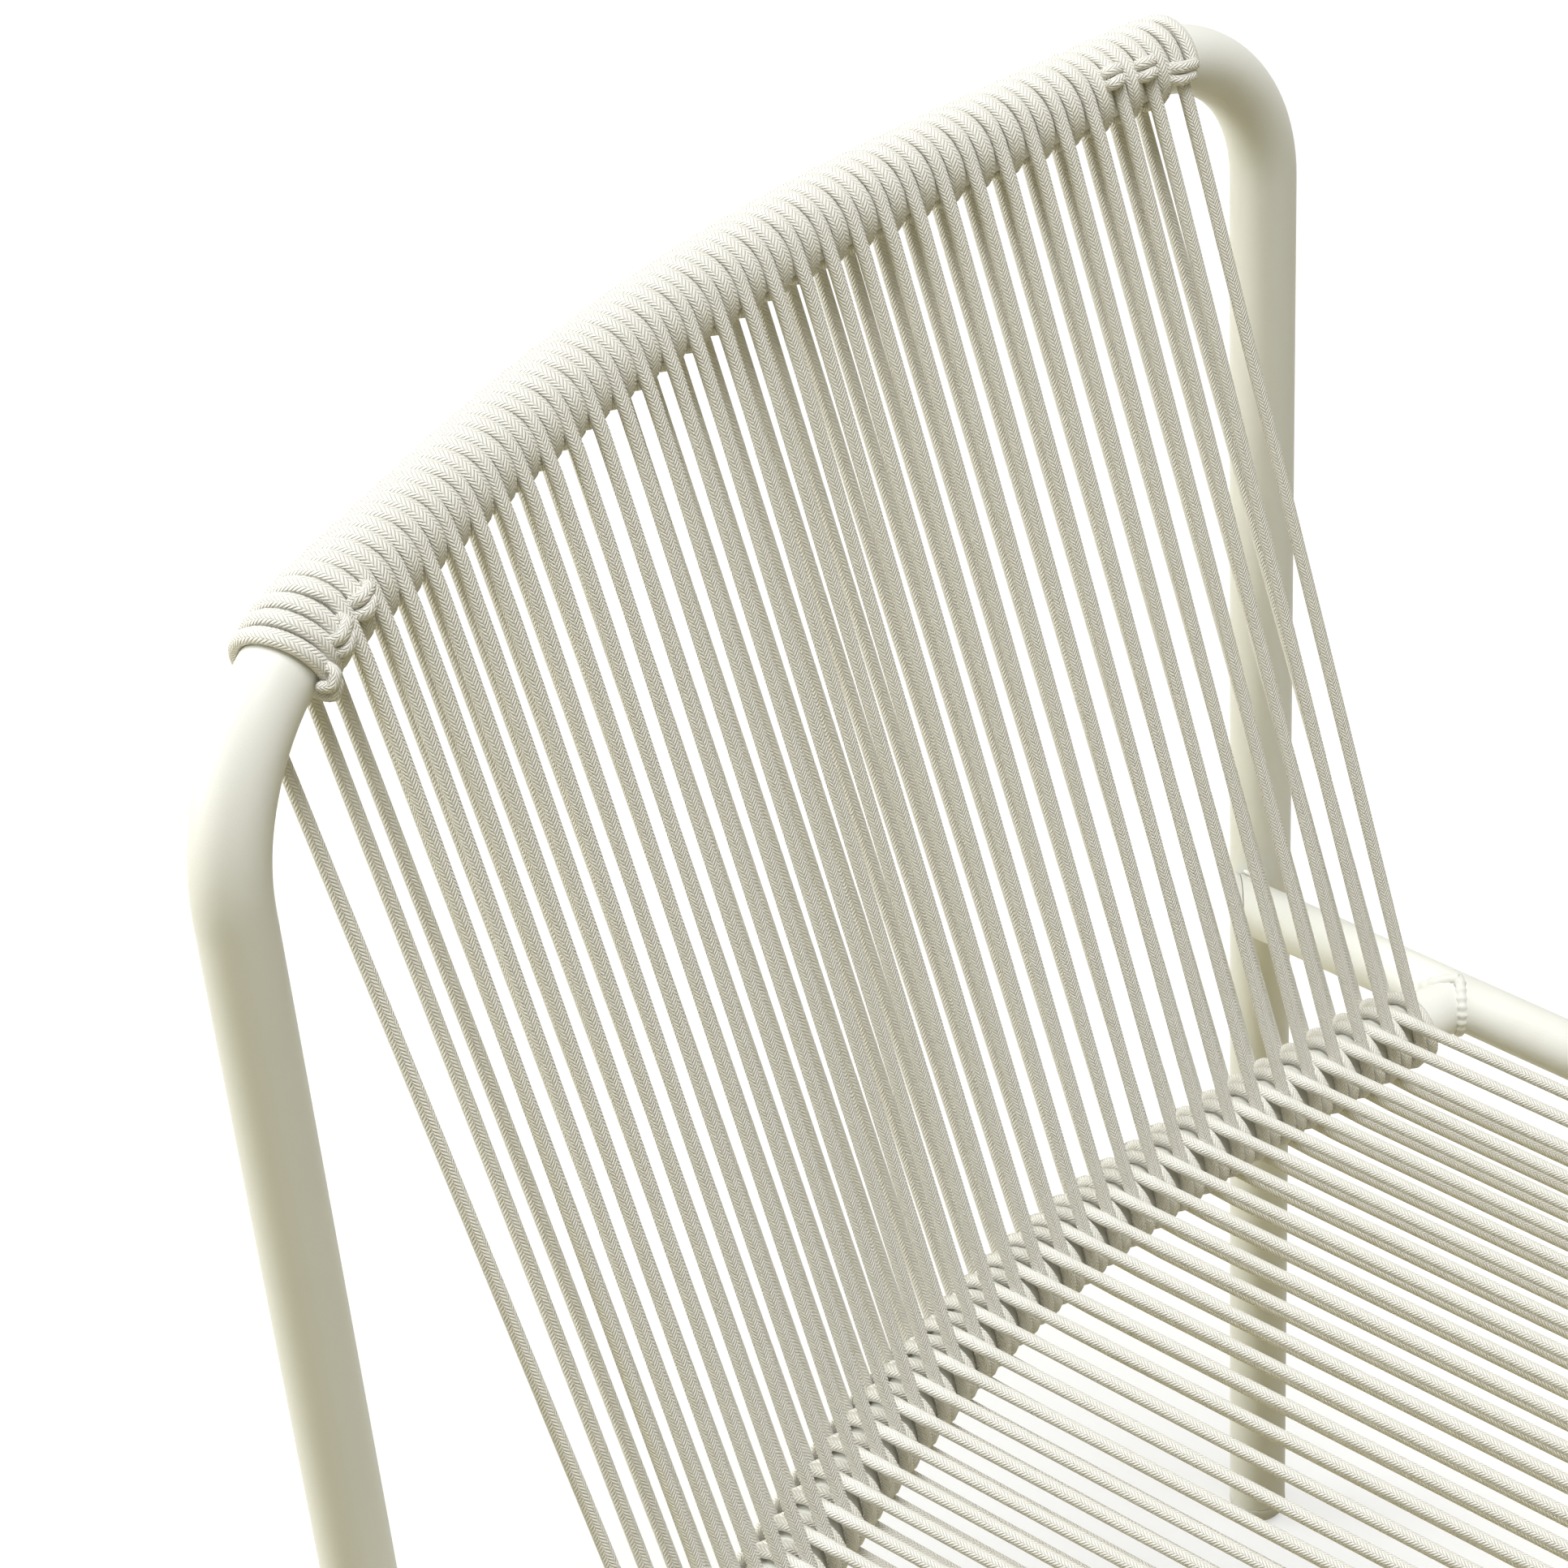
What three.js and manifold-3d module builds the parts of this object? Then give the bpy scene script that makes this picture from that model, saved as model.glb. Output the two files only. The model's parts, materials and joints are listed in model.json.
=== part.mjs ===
// Armless lounge chair: a bent steel tube frame with a back and a seat wound from round cord.
// Millimetres, +Z up, the sitter faces -Y. The origin ends up on the floor, under the middle.
// While the chair is built, the origin is the middle of the rear rail's centre line.
import * as THREE from 'three';
import { mergeVertices } from 'three/addons/utils/BufferGeometryUtils.js';
import Module from 'manifold-3d';

const wasm = await Module();
wasm.setup();

// Tubes of the frame
const postTube = 25;
const railTube = 22;
const tubeWall = 1.5;
const contactGap = 0.3;
const overrun = 30;

// Back hoop: two leaning posts joined by a bowed top rail, one bent tube
const rearRailHeight = 352;
const postHalfSpan = 272.6;
const postSetback = 65.5;
const postSplayShare = 0.02;
const postLeanShare = 0.13;
const backHeight = 380;
const topCornerRadius = 67;
const topRailBow = 41.5;
const topRailDip = 8;
const topBowShare = 1.59;

// Rear rail, bowed towards the back, and the side rails that it is welded to
const rearRailBow = 43;
const rearRailDip = 4;
const rearBowShare = 1.24;
const seatDepth = 400;
const seatRiseShare = 0.05;
const frontOverhang = 70;
const frontCornerRadius = 50;
const frontLegLean = 10;
const frontLegSplay = 8;
const railEndInset = 5.5;
const railEndSlantShare = 0.8;

// Weld beads, glides and plugs
const beadThickness = 2;
const beadReach = 3;
const sideBeadShare = 0.82;
const glideHeight = 8;
const glideEdge = 2.5;
const plugLength = 14;
const railPlugHead = 2.5;

// Cord and its winding
const cordDiameter = 5.2;
const cordGap = 0.45;
const strandCount = 32;
const topPitch = 14.08;
const bottomPitch = 13.77;
const firstCornerTurns = 0.5;
const lastCornerTurns = 2;
const cornerLift = 0.8;
const hitchLength = 6;
const leftHitchSeats = [0.7, 0.6, 1];
const rightHitchSeats = [0.9, 1.8, -0.2];

// Counts of steps and sides
const tubeSides = 16;
const roundSides = 20;
const turnSteps = 8;
const seatTurnSteps = 6;
const cornerSteps = 8;
const railSteps = 14;
const cordSides = 5;
const measureStep = 2;
const measureCell = 9;
const measureSkip = 30;

// Places on the winding, as shares of a pitch or a turn
const rearStrandTopShare = 0.75;
const rearStrandBottomShare = 0.89;
const lowerRearShare = 0.44;
const seatFrontShare = 0.21;
const lowerFrontShare = 0.71;
const leftHitchPlaceShares = [-0.05, 0.15, 0.18];
const leftHitchTurnShares = [-0.028, 0.034, 0.055];
const rightHitchPlaceShares = [0.54, 0.54, 0.44];
const rightHitchTurnShares = [0.021, -0.006, -0.072];

const fullTurn = 2 * Math.PI;
const postRadius = postTube / 2;
const railRadius = railTube / 2;
const cordRadius = cordDiameter / 2;
const sideHalfSpan = postHalfSpan - postRadius - contactGap - railRadius;
const floorLevel = -rearRailHeight;

const steelFinish = { color: 0xe4e3dc, roughness: 0.42, metalness: 0.1 };
const cordFinish = { color: 0xf1efe8, roughness: 0.7, metalness: 0 };
const plasticFinish = { color: 0xd9d8d2, roughness: 0.6, metalness: 0 };

const chair = new THREE.Group();

function point(x, y, z) {
  return new THREE.Vector3(x, y, z);
}

function towards(from, to) {
  return to.clone().sub(from).normalize();
}

function stepOff(start, direction, distance) {
  return start.clone().addScaledVector(direction, distance);
}

function addPiece(name, geometry, finish) {
  const piece = new THREE.Mesh(geometry, new THREE.MeshStandardMaterial(finish));
  piece.name = name;
  chair.add(piece);
}

// A closed mesh as a solid that can be cut and joined, and back
function asSolid(geometry) {
  const bare = geometry.clone();
  bare.deleteAttribute('normal');
  bare.deleteAttribute('uv');
  const merged = mergeVertices(bare);
  const vertProperties = new Float32Array(merged.attributes.position.array);
  const triVerts = new Uint32Array(merged.index.array);
  return new wasm.Manifold(new wasm.Mesh({ numProp: 3, vertProperties, triVerts }));
}

function asGeometry(solid) {
  const mesh = solid.getMesh();
  const geometry = new THREE.BufferGeometry();
  geometry.setAttribute('position', new THREE.BufferAttribute(mesh.vertProperties, 3));
  geometry.setIndex(new THREE.BufferAttribute(mesh.triVerts, 1));
  geometry.computeVertexNormals();
  return geometry;
}

// A round bar from a start point along a direction
function bar(start, direction, length, radius) {
  const geometry = new THREE.CylinderGeometry(radius, radius, length, roundSides);
  geometry.translate(0, length / 2, 0);
  geometry.applyQuaternion(new THREE.Quaternion().setFromUnitVectors(point(0, 1, 0), direction));
  geometry.translate(start.x, start.y, start.z);
  return asSolid(geometry);
}

// A centre line of straight runs and short steps, with one section of tube at each station
class StationPath extends THREE.Curve {
  constructor(stations) {
    super();
    this.stations = stations;
    this.last = stations.length - 1;
  }

  getUtoTmapping(u) {
    return u;
  }

  getPoint(t, target = new THREE.Vector3()) {
    const place = t * this.last;
    const index = Math.min(Math.floor(place), this.last - 1);
    return target.lerpVectors(this.stations[index], this.stations[index + 1], place - index);
  }

  getTangent(t, target = new THREE.Vector3()) {
    const index = Math.round(t * this.last);
    const before = Math.max(index - 1, 0);
    const after = Math.min(index + 1, this.last);
    target.subVectors(this.stations[index], this.stations[before]).normalize();
    const ahead = towards(this.stations[index], this.stations[after]);
    return target.add(ahead).normalize();
  }
}

// Stations of the arc that rounds a corner between two straight runs
function roundCorner(before, corner, after, radius) {
  const back = towards(corner, before);
  const ahead = towards(corner, after);
  const bend = Math.PI - back.angleTo(ahead);
  const setback = radius * Math.tan(bend / 2);
  const middle = back.clone().add(ahead).normalize();
  const centre = stepOff(corner, middle, radius / Math.cos(bend / 2));
  const first = stepOff(corner, back, setback).sub(centre);
  const axis = first.clone().cross(stepOff(corner, ahead, setback).sub(centre)).normalize();
  const stations = [];
  for (let step = 0; step <= cornerSteps; step += 1) {
    const spoke = first.clone().applyAxisAngle(axis, bend * step / cornerSteps);
    stations.push(centre.clone().add(spoke));
  }
  return stations;
}

function ringPoints(radius) {
  const points = [];
  for (let side = 0; side < tubeSides; side += 1) {
    const angle = fullTurn * side / tubeSides;
    points.push(new THREE.Vector2(radius * Math.cos(angle), radius * Math.sin(angle)));
  }
  return points;
}

// A steel tube along its stations, open at both ends
function tube(stations, radius) {
  const section = new THREE.Shape(ringPoints(radius));
  section.holes.push(new THREE.Path(ringPoints(radius - tubeWall)));
  const extrudePath = new StationPath(stations);
  return new THREE.ExtrudeGeometry(section, { steps: stations.length - 1, extrudePath });
}

// A bowed rail's centre at a place across the chair: its middle lies behind and below its ends
function bowedPoint(x, halfSpan, end, bow, dip, bowShare) {
  const across = (x / halfSpan) ** 2;
  const advance = bowShare * across - (bowShare - 1) * across ** 2;
  return point(x, end.y + bow * (1 - advance), end.z - dip * (1 - across));
}

// Back hoop, from the left foot over the top to the right foot
function postPoint(side, height) {
  const out = postHalfSpan + postSplayShare * height;
  return point(side * out, postSetback + postLeanShare * height, height);
}

const topCorner = postPoint(1, backHeight);

function topRailPoint(x) {
  return bowedPoint(x, topCorner.x, topCorner, topRailBow, topRailDip, topBowShare);
}

function hoopStations() {
  const side = topRailPoint(topCorner.x - topCornerRadius);
  const corner = roundCorner(postPoint(1, 0), topCorner, side, topCornerRadius);
  const straight = corner[cornerSteps].x;
  const rail = [];
  for (let step = 1; step < railSteps; step += 1) {
    rail.push(topRailPoint(straight * (1 - 2 * step / railSteps)));
  }
  const left = [postPoint(1, floorLevel + glideHeight), ...corner];
  const right = left.map((station) => point(-station.x, station.y, station.z)).reverse();
  return [...left, ...rail, ...right];
}

const hoop = hoopStations();
addPiece('back_hoop', tube(hoop, postRadius), steelFinish);

// Side frames: rail, front bend and front leg, one bent tube on each side
const rearRailEnd = point(sideHalfSpan, -rearRailBow, rearRailDip);
const railForward = point(0, -1, seatRiseShare).normalize();

function sideRailPoint(side, y) {
  const rise = (rearRailEnd.y - y) * seatRiseShare;
  return point(side * sideHalfSpan, y, rearRailEnd.z + rise);
}

const frontCornerY = -(seatDepth + frontOverhang);

function frontFloorPoint(side) {
  const out = sideHalfSpan + frontLegSplay;
  return point(side * out, frontCornerY - frontLegLean, floorLevel);
}

function legDown(side) {
  return towards(sideRailPoint(side, frontCornerY), frontFloorPoint(side));
}

// The rear end of a side rail is cut on a slant, so that only its outer side reaches the post
function railEnd(side) {
  return sideRailPoint(side, postSetback - railEndInset);
}

// A slab square to the slanted cut, between two distances behind it
function slantedSlab(side, from, to) {
  const behind = point(-side * railEndSlantShare, 1, 0).normalize();
  return bar(stepOff(railEnd(side), behind, from), behind, to - from, 2 * overrun);
}

function sideStations(side) {
  const rear = sideRailPoint(side, postSetback + overrun);
  const corner = sideRailPoint(side, frontCornerY);
  const foot = stepOff(frontFloorPoint(side), legDown(side), -glideHeight);
  return [rear, ...roundCorner(rear, corner, foot, frontCornerRadius), foot];
}

function sideFrame(side) {
  const whole = asSolid(tube(sideStations(side), railRadius));
  return asGeometry(whole.subtract(slantedSlab(side, 0, 2 * overrun)));
}

addPiece('side_frame_left', sideFrame(1), steelFinish);
addPiece('side_frame_right', sideFrame(-1), steelFinish);

// Cross rails, their ends cut to sit on the side rails
function rearRailPoint(x) {
  return bowedPoint(x, sideHalfSpan, rearRailEnd, rearRailBow, rearRailDip, rearBowShare);
}

function frontRailPoint(x) {
  const middle = sideRailPoint(1, -seatDepth);
  return point(x, middle.y, middle.z);
}

function crossStations(pointAt) {
  const stations = [];
  for (let step = 0; step <= railSteps; step += 1) {
    stations.push(pointAt(sideHalfSpan * (1 - 2 * step / railSteps)));
  }
  return stations;
}

function sideBar(side, y, radius) {
  const start = stepOff(sideRailPoint(side, y), railForward, -overrun);
  return bar(start, railForward, 2 * overrun, radius);
}

function crossRail(stations) {
  let solid = asSolid(tube(stations, railRadius));
  for (const side of [1, -1]) {
    solid = solid.subtract(sideBar(side, stations[0].y, railRadius + contactGap));
  }
  return asGeometry(solid);
}

const rearRail = crossStations(rearRailPoint);
const frontRail = crossStations(frontRailPoint);
addPiece('rear_rail', crossRail(rearRail), steelFinish);
addPiece('front_rail', crossRail(frontRail), steelFinish);

// Weld bead where a cross rail meets a side rail
function saddleBead(side, end, next) {
  const place = point(side * end.x, end.y, end.z);
  const inward = towards(place, point(side * next.x, next.y, next.z));
  const inner = railRadius + contactGap;
  const collar = bar(place, inward, overrun, inner + beadThickness)
    .subtract(bar(stepOff(place, inward, -overrun), inward, 3 * overrun, inner));
  const reach = sideBar(side, end.y, inner + beadReach);
  return asGeometry(collar.intersect(reach).subtract(sideBar(side, end.y, inner)));
}

// Weld bead round the spot where a side rail touches its post
function postBead(side) {
  const postPlace = postPoint(side, sideRailPoint(side, postSetback).z);
  const across = point(-side, 0, 0);
  const up = towards(postPoint(side, 0), postPoint(side, backHeight));
  const disc = bar(postPlace, across, postTube, railRadius * sideBeadShare);
  const post = bar(stepOff(postPlace, up, -overrun), up, 2 * overrun, postRadius + contactGap);
  const rail = sideBar(side, postPlace.y, railRadius + contactGap);
  const ring = disc.subtract(post).subtract(rail);
  return asGeometry(ring.subtract(slantedSlab(side, 0, 2 * overrun)));
}

for (const [name, side] of [['left', 1], ['right', -1]]) {
  addPiece(`weld_rear_${name}`, saddleBead(side, rearRail[0], rearRail[1]), steelFinish);
  addPiece(`weld_front_${name}`, saddleBead(side, frontRail[0], frontRail[1]), steelFinish);
  addPiece(`weld_post_${name}`, postBead(side), steelFinish);
}

// A turned plastic piece that stands on an axis, with its outline as radius and height
function turned(outline, base, axis) {
  const profile = outline.map(([radius, height]) => new THREE.Vector2(radius, height));
  const geometry = new THREE.LatheGeometry(profile, roundSides);
  geometry.applyQuaternion(new THREE.Quaternion().setFromUnitVectors(point(0, 1, 0), axis));
  geometry.translate(base.x, base.y, base.z);
  return geometry;
}

// Glide: a plug in the leg's end with a pad cut flat where it stands on the floor
function glide(floorPoint, up, radius) {
  const stem = radius - tubeWall - contactGap;
  const shoulder = glideHeight - contactGap;
  const outline = [
    [0, -glideEdge], [radius - glideEdge, -glideEdge], [radius, glideEdge], [radius, shoulder],
    [stem, shoulder], [stem, glideHeight + plugLength], [0, glideHeight + plugLength],
  ];
  const floor = new THREE.BoxGeometry(overrun * 2, overrun * 2, overrun);
  floor.translate(floorPoint.x, floorPoint.y, floorLevel - overrun / 2);
  return asGeometry(asSolid(turned(outline, floorPoint, up)).subtract(asSolid(floor)));
}

// Plug that closes the slanted rear end of a side rail
function railPlug(side) {
  const stem = sideBar(side, railEnd(side).y, railRadius - tubeWall - contactGap);
  const head = sideBar(side, railEnd(side).y, railRadius);
  const inside = stem.intersect(slantedSlab(side, -plugLength, railPlugHead));
  const outside = head.intersect(slantedSlab(side, contactGap, railPlugHead));
  return asGeometry(inside.add(outside));
}

for (const [name, side] of [['left', 1], ['right', -1]]) {
  const rearUp = towards(postPoint(side, floorLevel), postPoint(side, 0));
  const frontUp = legDown(side).negate();
  const rearGlide = glide(postPoint(side, floorLevel), rearUp, postRadius);
  const frontGlide = glide(frontFloorPoint(side), frontUp, railRadius);
  addPiece(`glide_rear_${name}`, rearGlide, plasticFinish);
  addPiece(`glide_front_${name}`, frontGlide, plasticFinish);
  addPiece(`rail_plug_${name}`, railPlug(side), plasticFinish);
}

// A rail's centre at a place across the chair, and the way that it runs there
function onLine(line, place) {
  let index = 0;
  while (index < line.length - 2 && line[index + 1].x > place) index += 1;
  const share = (line[index].x - place) / (line[index].x - line[index + 1].x);
  const [from, to] = [line[index], line[index + 1]];
  return { centre: new THREE.Vector3().lerpVectors(from, to, share), along: towards(from, to) };
}

// A spot straight beside a rail, where its distance square to the rail is the radius, and the
// way a cord runs there. Turn 0 lies at the winding's face, a quarter later at its lift
function spotOn(winding, place, turn, radius) {
  const { centre, along } = onLine(winding.line, place);
  const angle = fullTurn * turn;
  const out = winding.face.clone().multiplyScalar(Math.cos(angle));
  const run = winding.lift.clone().multiplyScalar(Math.cos(angle));
  out.addScaledVector(winding.lift, Math.sin(angle));
  run.addScaledVector(winding.face, -Math.sin(angle));
  return { spot: stepOff(centre, out, radius / out.clone().cross(along).length()), run };
}

// Stations of cord wound on a rail. They are the corners of a polygon round the tube, so the
// cord leaves it in a straight line that just clears the tube
function wind(winding, places, turns) {
  const steps = Math.round((turns[1] - turns[0]) * winding.steps);
  const radius = winding.reach / Math.cos(Math.PI / winding.steps);
  const route = [];
  for (let step = 0; step < steps; step += 1) {
    const share = (step + 0.5) / steps;
    const place = THREE.MathUtils.lerp(places[0], places[1], share);
    const turn = THREE.MathUtils.lerp(turns[0], turns[1], share);
    route.push(spotOn(winding, place, turn, radius).spot);
  }
  return route;
}

// A straight end of one cord diameter, before a winding's first turn or after its last
function tail(winding, place, turn, sense) {
  const { spot, run } = spotOn(winding, place, turn, winding.reach);
  return stepOff(spot, run, sense * cordDiameter);
}

function cordReach(tubeRadius) {
  return tubeRadius + contactGap + cordRadius;
}

// Middle places: strand 1 is the leftmost, and whole strands are one pitch apart
function strandPlace(strand, pitch) {
  return ((strandCount + 1) / 2 - strand) * pitch;
}

const backUp = towards(rearRailPoint(0), topRailPoint(0));
const backFace = point(1, 0, 0).cross(backUp).normalize();
const seatUp = railForward.clone().cross(point(1, 0, 0)).normalize();
const seatBack = railForward.clone().negate();
const backWinding = { face: backFace, lift: backUp, steps: turnSteps };
const topWinding = {
  ...backWinding, line: hoop.slice(1, -1), reach: cordReach(postRadius),
};
const cornerWinding = { ...topWinding, reach: topWinding.reach + cornerLift };
const rearWinding = { ...backWinding, line: rearRail, reach: cordReach(railRadius) };
const seatRearWinding = {
  face: seatUp, lift: seatBack, steps: seatTurnSteps,
  line: rearRail, reach: cordReach(railRadius),
};
const seatFrontWinding = {
  face: seatUp.clone().negate(), lift: railForward, steps: seatTurnSteps,
  line: frontRail, reach: cordReach(railRadius),
};

// Back cord: more turns on the hoop's left corner, then for each strand half a turn under the
// rear rail, the front strand up, one and a half turns on the top rail and the rear strand down
const cordWidth = cordDiameter + cordGap;

function rearTopPlace(strand) {
  return strandPlace(strand + rearStrandTopShare, topPitch);
}

function backCordRoute() {
  const start = rearTopPlace(-firstCornerTurns / 2);
  const firstTurn = 0.5 - firstCornerTurns;
  const route = [tail(cornerWinding, start, firstTurn, -1)];
  route.push(...wind(cornerWinding, [start, rearTopPlace(0)], [firstTurn, 0.5]));
  for (let strand = 1; strand <= strandCount; strand += 1) {
    const rear = strandPlace(strand - 1 + rearStrandBottomShare, bottomPitch);
    const front = strandPlace(strand, bottomPitch);
    route.push(...wind(rearWinding, [rear, front], [0.5, 1]));
    const top = strandPlace(strand, topPitch);
    route.push(...wind(topWinding, [top, rearTopPlace(strand)], [0, 1.5]));
  }
  const corner = [rearTopPlace(strandCount), rearTopPlace(strandCount + lastCornerTurns / 2)];
  route.push(...wind(cornerWinding, corner, [0.5, 0.5 + lastCornerTurns]));
  const rear = strandPlace(strandCount + rearStrandBottomShare, bottomPitch);
  const front = strandPlace(strandCount + 1, bottomPitch);
  route.push(...wind(rearWinding, [rear, front], [0.5, 1]));
  route.push(tail(rearWinding, front, 1, 1));
  return route;
}

// Seat cord: half a turn up round the front rail, the upper strand back, half a turn down
// round the rear rail beside a back strand, and the lower strand forward
function seatCordRoute() {
  const firstLower = strandPlace(lowerFrontShare, bottomPitch);
  const route = [tail(seatFrontWinding, firstLower, 0, -1)];
  for (let strand = 1; strand <= strandCount + 1; strand += 1) {
    const below = strandPlace(strand - 1 + lowerFrontShare, bottomPitch);
    const above = strandPlace(strand + seatFrontShare, bottomPitch);
    route.push(...wind(seatFrontWinding, [below, above], [0, 0.5]));
    if (strand <= strandCount) {
      const upper = strandPlace(strand, bottomPitch) - cordWidth;
      const lower = strandPlace(strand + lowerRearShare, bottomPitch);
      route.push(...wind(seatRearWinding, [upper, lower], [0, 0.5]));
    }
  }
  const end = strandPlace(strandCount + 1 + seatFrontShare, bottomPitch);
  route.push(tail(seatFrontWinding, end, 0.5, 1));
  return route;
}

// Round cord along its route: a ring of points at each station, carried on without twist
function cord(route) {
  const path = new StationPath(route);
  const positions = [];
  const indices = [];
  let heading = path.getTangent(0);
  const side = point(heading.y, heading.z, heading.x).projectOnPlane(heading).normalize();
  route.forEach((station, index) => {
    const next = path.getTangent(index / path.last);
    side.applyQuaternion(new THREE.Quaternion().setFromUnitVectors(heading, next));
    side.projectOnPlane(next).normalize();
    heading = next;
    for (let corner = 0; corner < cordSides; corner += 1) {
      const spoke = side.clone().applyAxisAngle(heading, fullTurn * corner / cordSides);
      positions.push(...stepOff(station, spoke, cordRadius).toArray());
      if (index === path.last) continue;
      const here = index * cordSides + corner;
      const beside = index * cordSides + (corner + 1) % cordSides;
      indices.push(here, beside, here + cordSides, beside, beside + cordSides, here + cordSides);
    }
  });
  const end = path.last * cordSides;
  for (let corner = 1; corner < cordSides - 1; corner += 1) {
    indices.push(0, corner + 1, corner, end, end + corner, end + corner + 1);
  }
  const geometry = new THREE.BufferGeometry();
  geometry.setAttribute('position', new THREE.Float32BufferAttribute(positions, 3));
  geometry.setIndex(indices);
  geometry.computeVertexNormals();
  return geometry;
}

// Evenly spaced points along a route, each with its distance from the start
function measurePoints(route) {
  const points = [];
  let travelled = 0;
  for (let index = 1; index < route.length; index += 1) {
    const length = route[index].distanceTo(route[index - 1]);
    const count = Math.ceil(length / measureStep);
    for (let step = 0; step < count; step += 1) {
      const spot = new THREE.Vector3().lerpVectors(route[index - 1], route[index], step / count);
      points.push({ spot, travelled: travelled + length * step / count });
    }
    travelled += length;
  }
  return points;
}

// Least gap between stretches of one cord that aren't next to each other along it
function leastGap(route) {
  const cells = new Map();
  const cellOf = (value) => Math.floor(value / measureCell);
  let least = measureCell;
  for (const { spot, travelled } of measurePoints(route)) {
    const [x, y, z] = spot.toArray().map(cellOf);
    for (let i = x - 1; i <= x + 1; i += 1) {
      for (let j = y - 1; j <= y + 1; j += 1) {
        for (let k = z - 1; k <= z + 1; k += 1) {
          for (const other of cells.get(`${i},${j},${k}`) ?? []) {
            if (travelled - other.travelled < measureSkip) continue;
            least = Math.min(least, spot.distanceTo(other.spot));
          }
        }
      }
    }
    const cell = `${x},${y},${z}`;
    if (!cells.has(cell)) cells.set(cell, []);
    cells.get(cell).push({ spot, travelled });
  }
  return least - cordDiameter;
}

function addCord(name, route) {
  const points = measurePoints(route);
  const metres = points[points.length - 1].travelled / 1000;
  console.log(`${name}: ${metres.toFixed(1)} m, least gap ${leastGap(route).toFixed(2)} mm`);
  addPiece(name, cord(route), cordFinish);
}

addCord('back_cord', backCordRoute());
addCord('seat_cord', seatCordRoute());

// Hitches: short loops of cord that lie across the wound turns at both ends of the top rail
function hitchRoute(strand, middle, seat) {
  const place = strandPlace(strand, topPitch);
  const windingRadius = topWinding.reach / Math.cos(Math.PI / turnSteps);
  const radius = windingRadius + cordDiameter + contactGap - seat;
  const open = cordWidth / radius / fullTurn;
  const at = (across, turn) => spotOn(topWinding, place + across, turn, radius).spot;
  const leg = hitchLength / 2;
  return [
    at(-leg, middle - open / 2), at(leg, middle - open / 2), at(leg + cordRadius, middle),
    at(leg, middle + open / 2), at(-leg, middle + open / 2),
  ];
}

leftHitchTurnShares.forEach((turn, index) => {
  const strand = 1 + index + leftHitchPlaceShares[index];
  const route = hitchRoute(strand, turn, leftHitchSeats[index]);
  addPiece(`hitch_left_${index + 1}`, cord(route), cordFinish);
});
rightHitchTurnShares.forEach((turn, index) => {
  const strand = strandCount - 1 + index + rightHitchPlaceShares[index];
  const route = hitchRoute(strand, turn, rightHitchSeats[index]);
  addPiece(`hitch_right_${index + 1}`, cord(route), cordFinish);
});

// The finished chair stands on the floor, with the middle of its outline over the origin
const outline = new THREE.Box3().setFromObject(chair, true);
const centre = outline.getCenter(new THREE.Vector3());
chair.position.set(-centre.x, -centre.y, -outline.min.z);
chair.updateMatrixWorld(true);

export default chair;
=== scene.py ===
# %% [markdown]
# # An armless lounge chair, wound with cord
#
# The chair is a bent steel frame. One long cord makes its back and a second one makes
# its seat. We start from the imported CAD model, which stays in place as a fixed frame,
# and build a finer version of each piece on the same lines.

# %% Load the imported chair
import json
import math

import bmesh
import bpy
import numpy as np
from mathutils import Matrix, Vector

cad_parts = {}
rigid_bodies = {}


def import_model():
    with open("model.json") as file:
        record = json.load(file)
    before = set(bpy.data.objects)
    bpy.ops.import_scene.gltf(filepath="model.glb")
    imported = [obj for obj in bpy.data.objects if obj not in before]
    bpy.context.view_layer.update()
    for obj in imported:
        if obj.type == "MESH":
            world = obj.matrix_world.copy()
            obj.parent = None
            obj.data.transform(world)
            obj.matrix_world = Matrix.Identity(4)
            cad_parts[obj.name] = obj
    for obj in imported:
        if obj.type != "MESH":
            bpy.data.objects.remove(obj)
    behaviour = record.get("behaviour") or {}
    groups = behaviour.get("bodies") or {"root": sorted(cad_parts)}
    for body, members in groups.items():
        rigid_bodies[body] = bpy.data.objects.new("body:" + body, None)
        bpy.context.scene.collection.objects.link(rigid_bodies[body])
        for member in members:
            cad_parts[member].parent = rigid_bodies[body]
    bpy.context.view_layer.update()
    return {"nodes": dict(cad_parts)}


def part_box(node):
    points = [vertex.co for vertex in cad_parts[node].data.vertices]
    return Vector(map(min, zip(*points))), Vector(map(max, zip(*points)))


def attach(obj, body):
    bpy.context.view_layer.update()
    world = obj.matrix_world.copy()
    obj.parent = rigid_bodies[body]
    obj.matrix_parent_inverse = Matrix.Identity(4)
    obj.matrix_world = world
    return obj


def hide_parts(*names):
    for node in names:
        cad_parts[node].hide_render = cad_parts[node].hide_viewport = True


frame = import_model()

print("pieces in the CAD model:", len(frame["nodes"]))

# %% [markdown]
# ## Sizes
#
# The lines of the frame are easiest to write from the middle of the rear rail, because
# both cords and all the tubes meet near it. We work in millimetres there. Only the
# finished points are moved to the floor frame and turned into metres.

# %% Sizes of the frame, in millimetres
REAR_RAIL_MIDDLE = np.array([0.0, 157.7345, 352.0])
MILLIMETRE = 0.001
POST_RADIUS = 12.5
RAIL_RADIUS = 11.0
FLOOR = -REAR_RAIL_MIDDLE[2]

POST_HALF_SPAN = 272.6
POST_SETBACK = 65.5
POST_SPLAY = 0.02
POST_LEAN = 0.13
BACK_HEIGHT = 380.0
TOP_CORNER_RADIUS = 67.0
TOP_RAIL_BOW = 41.5
TOP_RAIL_DIP = 8.0
TOP_RAIL_FLARE = 1.59

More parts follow.
